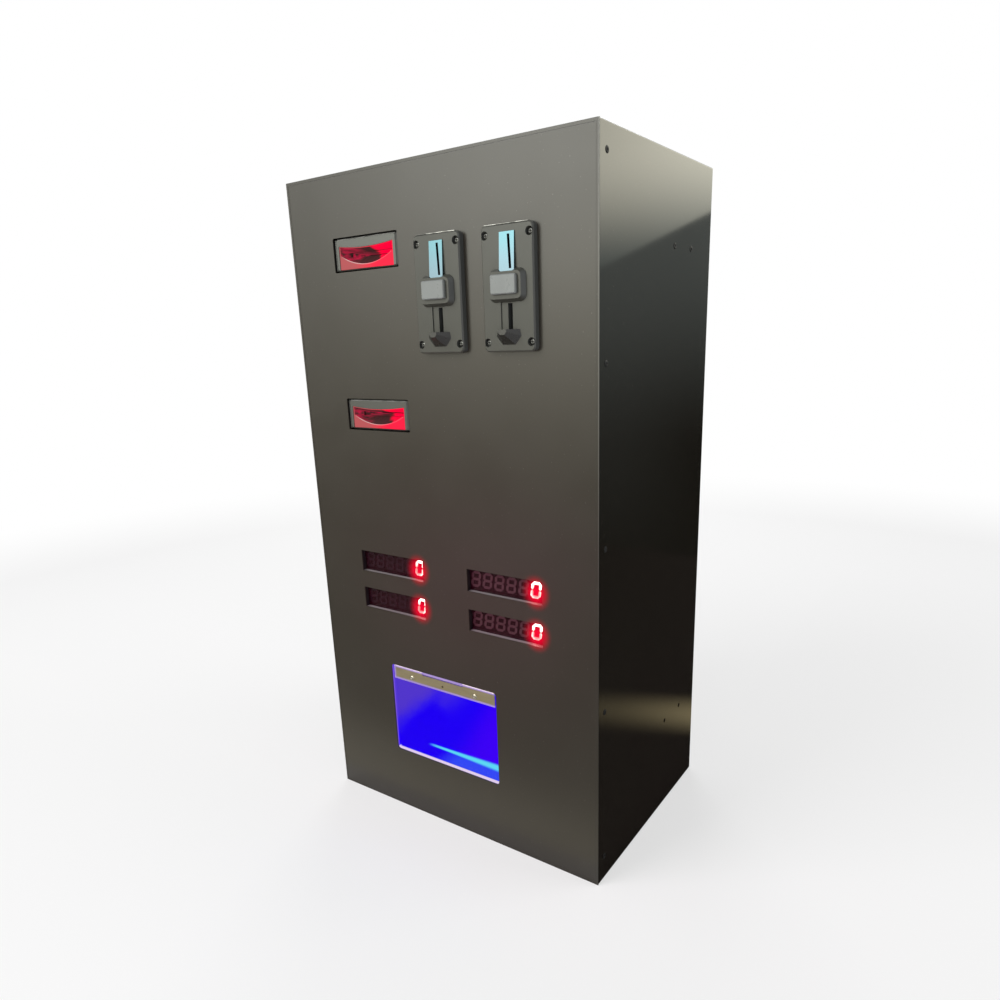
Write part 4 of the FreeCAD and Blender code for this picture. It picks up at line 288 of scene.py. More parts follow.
NOTE_LEVELS = {"bill_throat_upper": 745.5 * MM, "bill_throat_lower": 557 * MM}


def lit_head(name, throat):
    """The black head behind a throat, whose note slot glows as the throat does."""
    look = Look(name, Roughness=0.5, Base_Color=(0.012, 0.012, 0.013))
    glow = throat_glow(look, throat)[1]
    height = look.apart(look.part("Z"), NOTE_LEVELS[throat])
    aside = look.apart(look.part("X"), middle(throat).x)
    inside = look.times(look.ease(height, 2.9 * MM, 2.7 * MM), look.ease(aside, 36.4 * MM, 36.2 * MM))
    inside = look.times(inside, look.ease(look.part("Y"), -103.4 * MM, -103.8 * MM))
    look.set(Emission_Color=look.blend(inside, (0, 0, 0), glow), Emission_Strength=1.0)
    return look.material


def bezel_look(name, node):
    """Grey moulded plastic, with a painted highlight along its top edge, broken up unevenly."""
    look = Look(name, Specular_IOR_Level=0.6, Roughness=0.32)
    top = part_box(node)[1].z
    # Painted highlight: the top edge is paler, in patches.
    edge = look.ease(look.part("Z"), top - 1.6 * MM, top - 0.6 * MM)
    broken = look.ease(look.noise(60, 2, 0.5, (1, 1, 0.2)), 0.35, 0.6, 0.35, 1.0)
    painted_highlight = look.times(edge, broken)
    look.set(Base_Color=look.blend(painted_highlight, (0.072, 0.076, 0.064), (0.36, 0.36, 0.33)))
    look.relief(look.noise(1800, 2), 0.02 * MM, 0.5)
    return look.material


# The tray's fold, sill and flanges, from the low corner of its box. Its back slopes: what lies outside it has
# a height plus SLOPE_RISE times the depth of less than TRAY_UNDER.

TRAY_FOLD = 0.030
TRAY_FLANGE = 12 * MM
SLOPE_RISE = -54 / 83
TRAY_UNDER = (89.4 - 1.5 + 0.7 + 103 * 54 / 83) * MM
SILL_DEEP = 0.006
NEAR_OUTSIDE = 0.3 * MM
OUTSIDE = 0.8 * MM
VIOLET = (0.10, 0.045, 0.62)
CYAN = (0.12, 0.76, 1.0)


def lit_tray():
    """Sheet under blue light: pure blue, paler at the upper left, with a bright line along its fold and a
    dark outside."""
    look = Look("lit_tray", Roughness=0.6, Base_Color=(0, 0, 0), Specular_IOR_Level=0.0)
    low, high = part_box("payout_tray")
    across = look.part("X")
    up = look.part("Z")
    deep = look.part("Y")
    sway = look.ease(look.noise(22, 3), 0.2, 0.8, -0.012, 0.012)
    pale = look.times(look.ease(look.plus(across, sway), low.x + 0.075, low.x + 0.02),
                      look.ease(look.plus(up, sway), low.z + 0.03, low.z + 0.08))
    field = look.blend(look.ease(across, low.x + 0.07, low.x + 0.13), (0.014, 0.0, 1.0), (0.05, 0.0, 1.0))
    walls = look.blend(look.times(pale, 0.9), field, VIOLET)
    reach = look.ease(across, low.x + 0.05, high.x, 0.0035, 0.0100)
    line = look.ease(look.apart(deep, low.y + TRAY_FOLD), reach, look.times(reach, 0.25))
    fold = look.times(line, look.ease(look.plus(across, sway), low.x + 0.035, low.x + 0.07))
    shelf = look.times(look.ease(deep, low.y + TRAY_FOLD, low.y + TRAY_FOLD - 0.004),
                       look.ease(across, low.x + 0.07, low.x + 0.11))
    bottom = look.ease(up, low.z + 0.03, low.z + 0.018)
    paler = look.blend(look.times(look.times(shelf, bottom), 0.6), walls, (0.03, 0.12, 1.0))
    colour = look.blend(look.times(fold, bottom), paler, CYAN)
    sill = look.ease(deep, low.y + SILL_DEEP, low.y + SILL_DEEP - 0.001)
    lowest = look.ease(up, low.z + 0.0148, low.z + 0.0132)
    front = look.blend(look.times(sill, lowest), colour, (0.75, 0.62, 0.85))
    jamb = look.times(look.ease(deep, low.y + 0.0025, low.y + 0.0015),
                      look.ease(across, low.x + 0.02, low.x + 0.01))
    jamb = look.times(jamb, look.ease(lowest, 1.0, 0.0))
    lit = look.blend(jamb, front, (0.20, 0.10, 0.7))
    right = high.x - TRAY_FLANGE
    left = low.x + TRAY_FLANGE
    under = low.z + TRAY_FLANGE
    outside = look.ease(across, right + NEAR_OUTSIDE, right + OUTSIDE)
    for mask in (look.ease(across, left - NEAR_OUTSIDE, left - OUTSIDE),
                 look.ease(deep, high.y - 0.9 * MM, high.y - 0.4 * MM),
                 look.ease(up, under - NEAR_OUTSIDE, under - OUTSIDE),
                 look.ease(look.plus(up, look.times(deep, SLOPE_RISE)), TRAY_UNDER, TRAY_UNDER - 0.5 * MM)):
        outside = look.most(outside, mask)
    look.set(Emission_Color=look.blend(outside, lit, (0.004, 0.0, 0.03)), Emission_Strength=1.0)
    look.relief(look.noise(900, 2), 0.02 * MM, 0.3)
    return look.material


def clear_sheet(name, colour, clear, rough, glaze=0.5):
    """A clear or tinted sheet that lets most light straight through and mirrors more at a shallow angle."""
    look = Look(name, Roughness=rough, Base_Color=colour, Specular_IOR_Level=glaze)
    facing = look.put("ShaderNodeLayerWeight", {"Blend": 0.5}).outputs["Facing"]
    gloss = look.plus(look.times(look.sum("POWER", facing, 5.0), 0.96), 0.03)
    scratches = look.ease(look.noise(320, 2, 0.5, (1, 0.2, 0.15)), 0.66, 0.8, 0.0, 0.05)
    look.set(Alpha=look.sum("MINIMUM", look.plus(look.plus(gloss, scratches), 1 - clear), 1.0))
    return look.material


def glowing(name, colour, strength):
    """A lit plastic diffuser, a little uneven."""
    look = Look(name, Roughness=0.4, Base_Color=shade(colour, 0.6))
    uneven = look.ease(look.noise(150, 2), 0.2, 0.8, strength * 0.9, strength * 1.1)
    look.set(Emission_Color=colour, Emission_Strength=uneven)
    return look.material


def halo_look():
    """A round red glow that fades out, on an otherwise clear film."""
    look = Look("halo", Roughness=1.0, Base_Color=(0, 0, 0), Specular_IOR_Level=0.0)
    place = look.put("ShaderNodeTexCoord").outputs["UV"]
    centred = look.vectors("SUBTRACT", place, (0.5, 0.5, 0.0))
    away = look.vectors("LENGTH", centred, output="Value")
    glow = look.ease(away, 0.5, 0.06)
    look.set(Emission_Color=(1.0, 0.004, 0.035), Emission_Strength=1.0,
             Alpha=look.times(look.sum("POWER", glow, 1.5), 0.95))
    return look.material


def circuit_board():
    """Green solder mask with paler tracks."""
    look = Look("solder_mask", Roughness=0.35)
    turned = look.put("ShaderNodeMapping", {"Vector": look.here, "Rotation": (0, math.pi / 2, 0)}).outputs[0]
    cells = look.put("ShaderNodeTexBrick", {
        "Vector": turned,
        "Color1": (0.01, 0.07, 0.03, 1), "Color2": (0.012, 0.09, 0.035, 1), "Mortar": (0.03, 0.17, 0.07, 1),
        "Scale": 180.0, "Mortar Size": 0.06}).outputs["Color"]
    look.set(Base_Color=cells)
    look.relief(look.noise(600, 2), 0.02 * MM, 0.3)
    return look.material


def make_looks():
    """A material for every slot of the record."""
    steel = (0.034, 0.030, 0.0225)
    return {
        # The shell takes the panel's paint colour darkened to about a third: painted shade for its dark
        # glossy sides.
        "cabinet_paint": paint("cabinet_paint", shade(steel, 0.36), 0.07, 0.5, 900, 0.12, True),
        "panel_paint": paint("panel_paint", steel, 0.3, 0.5),
        "plate_finish": plate_look(),
        "slot_chrome": slot_mirror(),
        "button_metal": plastic("pale_button", (0.195, 0.21, 0.205), 0.3, 0.5, 900, 0.01),
        "fastener_steel": plated("zinc_plate", (0.5, 0.47, 0.4), 0.25),
        "fastener_dark": plated("black_zinc", (0.15, 0.15, 0.14), 0.3, 0.8),
        "hinge_steel": brushed("hinge_steel", (0.40, 0.35, 0.25), 0.4),
        "flap_hinge": flap_hinge_look(),
        "cup": plastic("cup_black", (0.014, 0.014, 0.013), 0.28, 0.6),
        "sheet_zinc": zinc(),
        "tray_paint": lit_tray(),
        "clear_acrylic": clear_sheet("clear_acrylic", (0.0, 0.0, 0.02), 0.985, 0.05, 0.3),
        "red_acrylic": clear_sheet("red_acrylic", (0.03, 0.005, 0.010), 0.5, 0.1, 0.25),
        "bezel_plastic": plastic("bezel_grey", (0.13, 0.135, 0.125), 0.32, 0.6),
        "housing_plastic": plastic("black_housing", (0.012, 0.012, 0.013), 0.5),
        "cash_box_plastic": plastic("cash_box_black", (0.022, 0.022, 0.024), 0.42),
        "display_frame": frame_look(),
        "display_face": plastic("digit_block", (0.035, 0.022, 0.026), 0.4),
        "board_green": circuit_board(),
        "hopper_plastic": plastic("hopper_black", (0.028, 0.028, 0.03), 0.45),
        "disc_metal": plated("turned_aluminium", (0.62, 0.62, 0.62), 0.3),
        "light_blue": glowing("blue_bar", (0.25, 0.4, 1.0), 4.0),
        "spring_steel": plated("spring_steel", (0.45, 0.45, 0.46), 0.28),
    }


def plate_look():
    """The cast coin plates: satin grey-green paint, with painted light making the edges that face right a
    little paler.
    """
    look = Look("plate_paint", Specular_IOR_Level=0.4)
    # Painted light: faces turned to the right are paler.
    aside = look.facing("X", 0.5, 0.9)
    clouds = look.noise(20, 3)
    face = look.blend(clouds, (0.043, 0.044, 0.036), (0.056, 0.057, 0.047))
    look.set(Base_Color=look.blend(aside, face, (0.085, 0.09, 0.088)),
             Roughness=look.ease(look.noise(30, 3), 0.3, 0.7, 0.30, 0.38))
    look.relief(look.noise(1500, 2), 0.02 * MM, 0.5)
    return look.material


def frame_look():
    """Pale frames round the digits. Their left jambs, which face right, are painted dark as shade."""
    look = Look("pale_frame", Roughness=0.45)
    # Painted shade: faces turned to the right are dark.
    look.set(Base_Color=look.blend(look.facing("X", 0.4, 0.8), (0.30, 0.27, 0.28), (0.012, 0.008, 0.010)))
    look.relief(look.noise(1800, 2), 0.02 * MM, 0.5)
    return look.material


def flap_hinge_look():
    """Brushed steel that takes the pocket's violet light on its edges."""
    look = Look("flap_hinge", Metallic=1.0)
    lines = look.noise(2600, 2, 0.7, BRUSHED_ALONG_X)
    look.set(Base_Color=look.blend(lines, (0.46, 0.40, 0.28), (0.70, 0.61, 0.43)),
             Roughness=look.ease(lines, 0.2, 0.8, 0.34, 0.5))
    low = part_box("flap_hinge_moving_leaf")[0]
    up = look.part("Z")
    over = look.ease(up, low.z + 16 * MM, low.z + 17.6 * MM)
    under = look.ease(up, low.z + 3.4 * MM, low.z + 1.6 * MM)
    left = look.ease(look.part("X"), low.x + 4 * MM, low.x + 1 * MM)
    lit = look.most(look.most(over, under), left)
    look.set(Emission_Color=look.blend(lit, (0, 0, 0), (0.13, 0.07, 0.5)), Emission_Strength=1.0)
    look.relief(lines, 0.01 * MM, 0.4)
    return look.material


def slot_mirror():
    """The polished wedge, with a painted reflection of a cool sky in its colour, bluer towards the top."""
    look = Look("slot_mirror", Metallic=1.0, Roughness=0.16)
    low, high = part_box("coin_slot_insert_left")
    # Painted reflection: the colour turns bluer towards the top, with clouds.
    rise = look.ease(look.part("Z"), low.z, high.z)
    clouds = look.noise(45, 3)
    painted_reflection = look.plus(look.times(rise, 0.7), look.times(clouds, 0.3))
    look.set(Base_Color=look.blend(painted_reflection, (0.115, 0.155, 0.19), (0.085, 0.175, 0.205)))
    return look.material


# Lights and floor

AMBIENT = 0.45
FLOOR_HALF = 30.0
FLOOR_FADE = (0.9, 2.6)
FLOOR_WHITE = 0.55
KEY_POWER = 46
FILL_POWER = 16
REAR_POWER = 22
SPILL_POWER = 0.16


def lamp(name, at, target, size, power, colour=(1, 1, 1)):
    data = bpy.data.lights.new(name, "AREA")
    data.shape = "RECTANGLE"
    data.size, data.size_y = size
    data.energy = power
    data.color = colour
    made = bpy.data.objects.new(name, data)
    made.location = at
    made.rotation_mode = "QUATERNION"
    made.rotation_quaternion = (Vector(target) - Vector(at)).to_track_quat("-Z", "Y")
    made.visible_camera = False
    bpy.context.scene.collection.objects.link(made)
    return made


def make_world():
    """White behind the object, also in its mirrors and glass, and a dimmer even light on it."""
    world = bpy.data.worlds.new("studio")
    bpy.context.scene.world = world
    world.use_nodes = True
    tree = world.node_tree
    back = tree.nodes["Background"]
    path = tree.nodes.new("ShaderNodeLightPath")
    seen = tree.nodes.new("ShaderNodeMath")
    seen.operation = "MAXIMUM"
    tree.links.new(path.outputs["Is Camera Ray"], seen.inputs[0])
    tree.links.new(path.outputs["Is Glossy Ray"], seen.inputs[1])
    through = tree.nodes.new("ShaderNodeMath")
    through.operation = "MAXIMUM"
    tree.links.new(seen.outputs[0], through.inputs[0])
    tree.links.new(path.outputs["Is Transmission Ray"], through.inputs[1])
    strength = tree.nodes.new("ShaderNodeMapRange")
    strength.inputs["To Min"].default_value = AMBIENT
    strength.inputs["To Max"].default_value = 1.0
    tree.links.new(through.outputs[0], strength.inputs["Value"])
    tree.links.new(strength.outputs[0], back.inputs["Strength"])
    back.inputs["Color"].default_value = (1, 1, 1, 1)


def make_floor():
    """A pale floor that turns to the white of the backdrop away from the object."""
    mesh = bpy.data.meshes.new("floor")
    half = FLOOR_HALF
    corners = [(-half, -half, 0), (half, -half, 0), (half, half, 0), (-half, half, 0)]
    mesh.from_pydata(corners, [], [(0, 1, 2, 3)])
    floor = bpy.data.objects.new("floor", mesh)
    bpy.context.scene.collection.objects.link(floor)
    look = Look("floor", Base_Color=(0.86, 0.86, 0.86), Roughness=0.9, Specular_IOR_Level=0.1)
    away = look.vectors("LENGTH", look.here, output="Value")
    seen = look.put("ShaderNodeLightPath").outputs["Is Camera Ray"]
    far = look.most(look.ease(away, *FLOOR_FADE), look.times(seen, FLOOR_WHITE))
    glow = look.put("ShaderNodeEmission", {"Color": (1, 1, 1, 1), "Strength": 1.0})
    mix = look.put("ShaderNodeMixShader", {0: far, 1: look.shader.outputs[0], 2: glow.outputs[0]})
    look.tree.links.new(mix.outputs[0], look.tree.nodes["Material Output"].inputs["Surface"])
    mesh.materials.append(look.material)


def make_lights():
    lamp("key", (-1.1, -1.9, 2.3), (0.0, 0.0, 0.45), (1.6, 1.6), KEY_POWER)
    lamp("fill", (1.9, 0.9, 1.9), (0.1, 0.0, 0.4), (1.4, 1.4), FILL_POWER)
    lamp("rear", (-1.4, 2.2, 1.6), (0.0, 0.0, 0.4), (1.4, 1.4), REAR_POWER)
    spill = lamp("digit_spill", (0.03, FACE - 0.16, 0.34), (0.03, FACE, 0.34), (0.24, 0.1), SPILL_POWER,
                 (1.0, 0.1, 0.55))
    spill.visible_glossy = False
    side_card()
    front_card()


CARD_LOW = 0.0006


def lying_wall(left, right, front, back):
    return [(left, front, CARD_LOW), (right, front, CARD_LOW),
            (right, back, CARD_LOW), (left, back, CARD_LOW)]


def upright_wall(left, right, back, top):
    return [(left, back, CARD_LOW), (right, back, CARD_LOW), (right, back, top), (left, back, top)]


def mirror_card(name, walls, colour_of):
    """Upright and lying cards that only reflections show. Each wall is four corners."""
    mesh = bpy.data.meshes.new(name)
    corners = [corner for wall in walls for corner in wall]
    mesh.from_pydata(corners, [], [tuple(range(4 * index, 4 * index + 4)) for index in range(len(walls))])
    card = bpy.data.objects.new(name, mesh)
    bpy.context.scene.collection.objects.link(card)
    card.visible_camera = False
    card.visible_diffuse = False
    card.visible_transmission = False
    card.visible_shadow = False
    look = Look(name, Roughness=1.0, Base_Color=(0, 0, 0), Specular_IOR_Level=0.0)
    look.set(Emission_Color=colour_of(look), Emission_Strength=1.0)
    mesh.materials.append(look.material)


CARD_BACK = 1.2
CARD_LEFT = 0.35
CARD_RIGHT = 1.4
CARD_TALL = 1.9
EDGE_AT = (0.588, 0.934)
EDGE_SLOPE = -0.349
MAT_FRONT = -0.18
WARM_FROM = (0.20, 0.34)
WARM_TO = (0.47, 0.22)
WARM_HALF = 0.085
MAT_EDGE = (0.002, 0.004)


def side_card():
    """The glossy right side mirrors a bright wall over a dark one, parted by a slanting edge, and a mat with
    a warm streak of light."""
    lying = lying_wall(SIDE + 0.001, CARD_RIGHT, MAT_FRONT, CARD_BACK)
    upright = upright_wall(CARD_LEFT, CARD_RIGHT, CARD_BACK, CARD_TALL)
    along = Vector((WARM_TO[0] - WARM_FROM[0], WARM_TO[1] - WARM_FROM[1], 0)).normalized()

    def colour_of(look):
        across = look.part("X")
        up = look.part("Z")
        edge = look.plus(look.times(across, EDGE_SLOPE), EDGE_AT[1] - EDGE_SLOPE * EDGE_AT[0])
        above = look.ease(look.sum("SUBTRACT", up, edge), -0.003, 0.003)
        haze = look.blend(look.ease(up, 0.8, 1.12), (0.5, 0.57, 0.54), (3.3, 3.2, 2.65))
        nearer = look.ease(across, 0.56, 0.95, 0.0, 0.12)
        dusk = look.plus(look.ease(up, 0.3, 0.95, 0.0, 0.31), look.times(nearer, look.ease(up, -0.2, 0.7)))
        shaded = look.blend(dusk, (0, 0, 0), (0.9, 1.0, 0.95))
        wall = look.blend(above, shaded, haze)
        far = look.vectors("SUBTRACT", look.here, (*WARM_FROM, 0))
        run = look.vectors("DOT_PRODUCT", far, tuple(along), output="Value")
        off = look.vectors("DOT_PRODUCT", far, (-along.y, along.x, 0), output="Value")
        streak = look.ease(look.sum("ABSOLUTE", off, 0.0), WARM_HALF, 0.0)
        fade = look.ease(run, 0.0, 0.26, 0.72, 0.24)
        warm = look.blend(look.times(streak, fade), (0.02, 0.014, 0.014), (1.0, 0.82, 0.45))
        return look.blend(look.ease(up, *MAT_EDGE), warm, wall)

    mirror_card("side_card", [lying, upright], colour_of)


FRONT_CARD = -1.75
FRONT_LEFT = -3.2
FRONT_RIGHT = 0.2
FRONT_TALL = 2.2


def front_card():
    """The satin front mirrors a wall that brightens upwards and to the right, over a dim floor."""
    upright = upright_wall(FRONT_LEFT, FRONT_RIGHT, FRONT_CARD, FRONT_TALL)
    lying = lying_wall(FRONT_LEFT, FRONT_RIGHT, FRONT_CARD, FACE - 0.03)

    def colour_of(look):
        up = look.part("Z")
        rise = look.ease(up, 0.0, 1.35)
        across = look.ease(look.part("X"), -2.2, -0.8, 0.22, 1.1)
        level = look.plus(look.times(rise, look.times(across, 0.92)), 0.05)
        wall = look.blend(level, (0, 0, 0), look.blend(rise, (5.0, 4.75, 3.7), (4.9, 5.0, 4.65)))
        near = look.ease(look.part("Y"), FACE - 0.2, FACE - 0.05, 0.25, 0.85)
        floor = look.blend(near, (0, 0, 0), (1.0, 0.93, 0.75))
        return look.blend(look.ease(up, *MAT_EDGE), floor, wall)

    mirror_card("front_card", [upright, lying], colour_of)


# Mesh helpers

def new_piece(name, mesh_maker, material, body, smooth=True):
    """A mesh piece that rides on a body and takes its finish from a slot."""
    work = bmesh.new()
    mesh_maker(work)
    bmesh.ops.recalc_face_normals(work, faces=work.faces)
    mesh = bpy.data.meshes.new(name)
    work.to_mesh(mesh)
    work.free()
    for polygon in mesh.polygons:
        polygon.use_smooth = smooth
    mesh.materials.append(material)
    piece = bpy.data.objects.new(name, mesh)
    bpy.context.scene.collection.objects.link(piece)
    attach(piece, body)
    return piece


def stack_rings(work, rings, close_start=True, close_end=True):
    """Walls between rings of points, each ring as long as the next, with caps at the ends."""
    made = [[work.verts.new(point) for point in ring] for ring in rings]
    for lower, upper in zip(made, made[1:]):
        for index in range(len(lower)):
            following = (index + 1) % len(lower)
            work.faces.new((lower[index], lower[following], upper[following], upper[index]))
    if close_start:
        work.faces.new(list(reversed(made[0])))
    if close_end:
        work.faces.new(made[-1])


def cross_outline(reach, half):
    """The corners of a cross, anticlockwise, with the middle of each end."""
    quarter = [(reach, 0), (reach, half), (half, half), (half, reach)]
    points = []
    for turn in range(4):
        cos = math.cos(turn * math.pi / 2)
        sin = math.sin(turn * math.pi / 2)
        points += [(across * cos - up * sin, across * sin + up * cos) for across, up in quarter]
    return points


def hexagon_outline(radius):
    angles = [math.radians(angle) for angle in range(0, 360, 60)]
    return [(radius * math.cos(angle), radius * math.sin(angle)) for angle in angles]


def split_sides(outline, times):
    """The outline with each side cut into equal parts."""
    points = []
    for index, start in enumerate(outline):
        end = outline[(index + 1) % len(outline)]
        for step in range(times):
            share = step / times
            points.append((start[0] + (end[0] - start[0]) * share, start[1] + (end[1] - start[1]) * share))
    return points


DOME_RINGS = 6
DOME_SHARE = 0.72


def screw_head(work, place, radius, tall, outline, socket_deep, shank, long):
    """A domed head over its seat at the place's origin, with a recess of the given outline and a shank."""
    angles = [math.atan2(up, across) for across, up in outline]
    full = math.sin(math.pi / 2 * DOME_SHARE)

    def circle(size, level):
        return [place @ Vector((size * math.cos(angle), size * math.sin(angle), level)) for angle in angles]

    def recess(size, level):
        return [place @ Vector((across * size, up * size, level)) for across, up in outline]

    rings = [circle(shank, -long), circle(shank, 0), circle(radius * 0.96, 0)]
    for step in range(DOME_RINGS + 1):
        rise = step / DOME_RINGS * math.pi / 2 * DOME_SHARE
        rings.append(circle(radius * math.cos(rise), tall * (0.12 + 0.88 * math.sin(rise) / full)))
    rings += [recess(1.0, tall * 0.98), recess(0.9, tall - socket_deep)]
    stack_rings(work, rings)


def tube_ring(centre, across, up, radius, sides):
    angles = [2 * math.pi * side / sides for side in range(sides)]
    return [centre + across * radius * math.cos(angle) + up * radius * math.sin(angle) for angle in angles]


def add_block(work, low, high, bevel=0.0):
    """A box between two corners, its edges bevelled."""
    made = bmesh.ops.create_cube(work, size=1.0)["verts"]
    centre = (Vector(low) + Vector(high)) / 2
    size = Vector(high) - Vector(low)
    for vertex in made:
        vertex.co = Vector((vertex.co.x * size.x, vertex.co.y * size.y, vertex.co.z * size.z)) + centre
    if bevel:
        edges = list({edge for vertex in made for edge in vertex.link_edges})
        bmesh.ops.bevel(work, geom=edges, offset=bevel, segments=2, affect="EDGES", profile=0.5)


# Screws

def facing(at, outwards):
    """A placement at a point, with its own Z along a direction."""
    return Matrix.Translation(at) @ Vector(outwards).to_track_quat("Z", "Y").to_matrix().to_4x4()


SIDE_SCREW_BACK = 15 * MM
SIDE_SCREW_LEVELS = [(32.5 + 194.4 * step) * MM for step in range(5)]
BRACKET_SCREWS = [(36.2 * MM, 737.6 * MM), (86 * MM, 737.6 * MM)]
PLATE_SCREW_ACROSS = 27.25 * MM
PLATE_SCREW_UP = 53 * MM
COIN_LEVEL = 692.4 * MM
FLAP_SCREWS = (-67 * MM, 38 * MM)


def side_screws():
    """The hexagon-socket screws in both sides."""
    outline = split_sides(hexagon_outline(1.6 * MM), 4)

    def build(work):
        for sign in (-1, 1):
            spots = [(FACE + SIDE_SCREW_BACK, level) for level in SIDE_SCREW_LEVELS] + BRACKET_SCREWS
            for back, level in spots:
                place = facing((sign * SIDE, back, level), (sign, 0, 0))
                screw_head(work, place, 3.5 * MM, 0.8 * MM, outline, 0.75 * MM, 2.1 * MM, 8 * MM)

    dark = plastic("blackened_screw", (0.008, 0.008, 0.008), 0.55, 0.25)
    piece = new_piece("side_screw_heads", build, dark, "cabinet")
    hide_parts("side_screws")


def plate_screws(looks):
    """Four cross-head screws in each coin plate."""
    outline = split_sides(cross_outline(2.1 * MM, 0.45 * MM), 2)
    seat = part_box("coin_plate_screws")[0].y + 2.4 * MM

    def build(work):
        for side in ("left", "right"):
            centre = middle("coin_plate_" + side)
            for sign in (-1, 1):
                for rise in (-1, 1):
                    at = (centre.x + sign * PLATE_SCREW_ACROSS, seat, COIN_LEVEL + rise * PLATE_SCREW_UP)
                    place = facing(at, (0, -1, 0))
                    screw_head(work, place, 3.6 * MM, 2.4 * MM, outline, 1.5 * MM, 1.9 * MM, 8.5 * MM)

    piece = new_piece("plate_screw_heads", build, looks["fastener_dark"], "cabinet")
    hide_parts("coin_plate_screws")


def flap_screws(looks):
    """The two cross-head screws of the flap, with their nuts behind it."""
    outline = split_sides(cross_outline(1.8 * MM, 0.4 * MM), 2)
    low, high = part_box("flap_screws")
    level = (low.z + high.z) / 2
    seat = low.y + 1.6 * MM

    nut = split_sides(hexagon_outline(2.8 * MM), 2)
    nut_levels = ((0.94, high.y - 2 * MM), (1, high.y - 1.8 * MM), (1, high.y - 0.2 * MM), (0.94, high.y))

    def build(work):
        for across in FLAP_SCREWS:
            place = facing((across, seat, level), (0, -1, 0))
            screw_head(work, place, 3.4 * MM, 1.6 * MM, outline, 1.0 * MM, 1.45 * MM, 6 * MM)
            stack_rings(work, [[Vector((across + x * size, back, level + z * size)) for x, z in nut]
                               for size, back in nut_levels])

    piece = new_piece("flap_screw_heads", build, looks["fastener_steel"], "flap")
    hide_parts("flap_screws")


# Trims

MOUTH_HALF = 41.8 * MM
SMILE_DIP = 11.6 * MM
SMILE_TOP = -0.6 * MM
BEAD = 0.5 * MM
LIP_STEPS = 40


def smile_beads():
    """The rolled edge of each throat's lower lip, an arc, with a painted highlight that glows pale pink,
    turning red towards the right.
    """
    bend = (MOUTH_HALF ** 2 + SMILE_DIP ** 2) / (2 * SMILE_DIP)
    # Painted highlight: pale pink at the left turning red at the right, dimmer at the far left end.
    look = Look("lip_highlight", Roughness=0.25, Base_Color=(0.1, 0.03, 0.03))
    centre = middle("bill_throat_upper").x
    run = look.ease(look.part("X"), centre - 20 * MM, centre + 28 * MM)
    ends = look.ease(look.part("X"), centre - 38 * MM, centre - 30 * MM)
    pale = look.blend(run, (0.50, 0.30, 0.29), (1.0, 0.03, 0.08))
    look.set(Emission_Color=look.blend(ends, (0.4, 0.09, 0.1), pale), Emission_Strength=1.0)
    for name, level in NOTE_LEVELS.items():
        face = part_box(name)[0].y

        def build(work, level=level, face=face):
            rings = []
            for step in range(LIP_STEPS + 1):
                across = MOUTH_HALF * 0.97 * (2 * step / LIP_STEPS - 1)
                drop = SMILE_TOP - SMILE_DIP + bend - math.sqrt(bend ** 2 - across ** 2)
                along = Vector((math.sqrt(bend ** 2 - across ** 2), 0, across)).normalized()
                out = Vector((-along.z, 0, along.x))
                at = Vector((centre + across, face, level + drop))
                rings.append(tube_ring(at, out, Vector((0, 1, 0)), BEAD, 8))
            stack_rings(work, rings)

        new_piece("lip_highlight_" + name.rsplit("_", 1)[1], build, look.material, "cabinet")


RIM_WIDE = 3.2 * MM
RIM_PROUD = 0.12 * MM


def front_rim(looks):
    """The painted-over seam between the shell's front edge and the panel, with a painted highlight along its
    right fold, brighter towards the top.
    """
    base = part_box("cabinet_shell")[0].z
    inset = 0.1 * MM

    def build(work):
        edges = [((-SIDE + inset, base + inset), (-SIDE + RIM_WIDE, TOP - inset)),
                 ((SIDE - RIM_WIDE, base + inset), (SIDE - inset, TOP - inset)),
                 ((-SIDE + RIM_WIDE, base + inset), (SIDE - RIM_WIDE, base + RIM_WIDE)),
                 ((-SIDE + RIM_WIDE, TOP - RIM_WIDE), (SIDE - RIM_WIDE, TOP - inset))]
        for low, high in edges:
            add_block(work, (low[0], FACE - RIM_PROUD, low[1]), (high[0], FACE + 0.2 * MM, high[1]))

    new_piece("front_rim", build, looks["panel_paint"], "cabinet", False)

    def fold(work):
        add_block(work, (SIDE - 1.0 * MM, FACE - RIM_PROUD - 0.1 * MM, base + inset),
                  (SIDE, FACE + 0.5 * MM, TOP - inset), 0.09 * MM)

    # Painted highlight along the right fold, brighter towards the top.
    look = Look("fold_highlight", Roughness=0.35)
    rise = look.ease(look.part("Z"), 0.25, 0.8)
    look.set(Base_Color=look.blend(rise, (0.03, 0.028, 0.022), (0.16, 0.16, 0.14)))
    new_piece("front_fold", fold, look.material, "cabinet", False)


PLATE_FACE = -158 * MM


def plate_edges():
    """The bright top edges of the coin plates, a painted highlight broken up unevenly."""
    # Painted highlight: pale in patches along the top edge.
    look = Look("plate_top_highlight", Roughness=0.3, Metallic=0.3)
    painted_highlight = look.ease(look.noise(90, 2, 0.5, (1, 0.3, 0.3)), 0.35, 0.65)
    look.set(Base_Color=look.blend(painted_highlight, (0.08, 0.08, 0.07), (0.55, 0.55, 0.5)))
    for side in ("left", "right"):
        low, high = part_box("coin_plate_" + side)

        def build(work, low=low, high=high):
            add_block(work, (low.x + 5 * MM, PLATE_FACE - 0.25 * MM, high.z - 0.6 * MM),
                      (high.x - 5 * MM, PLATE_FACE + 0.5 * MM, high.z + 0.12 * MM), 0.2 * MM)

        new_piece("plate_edge_" + side, build, look.material, "cabinet", False)


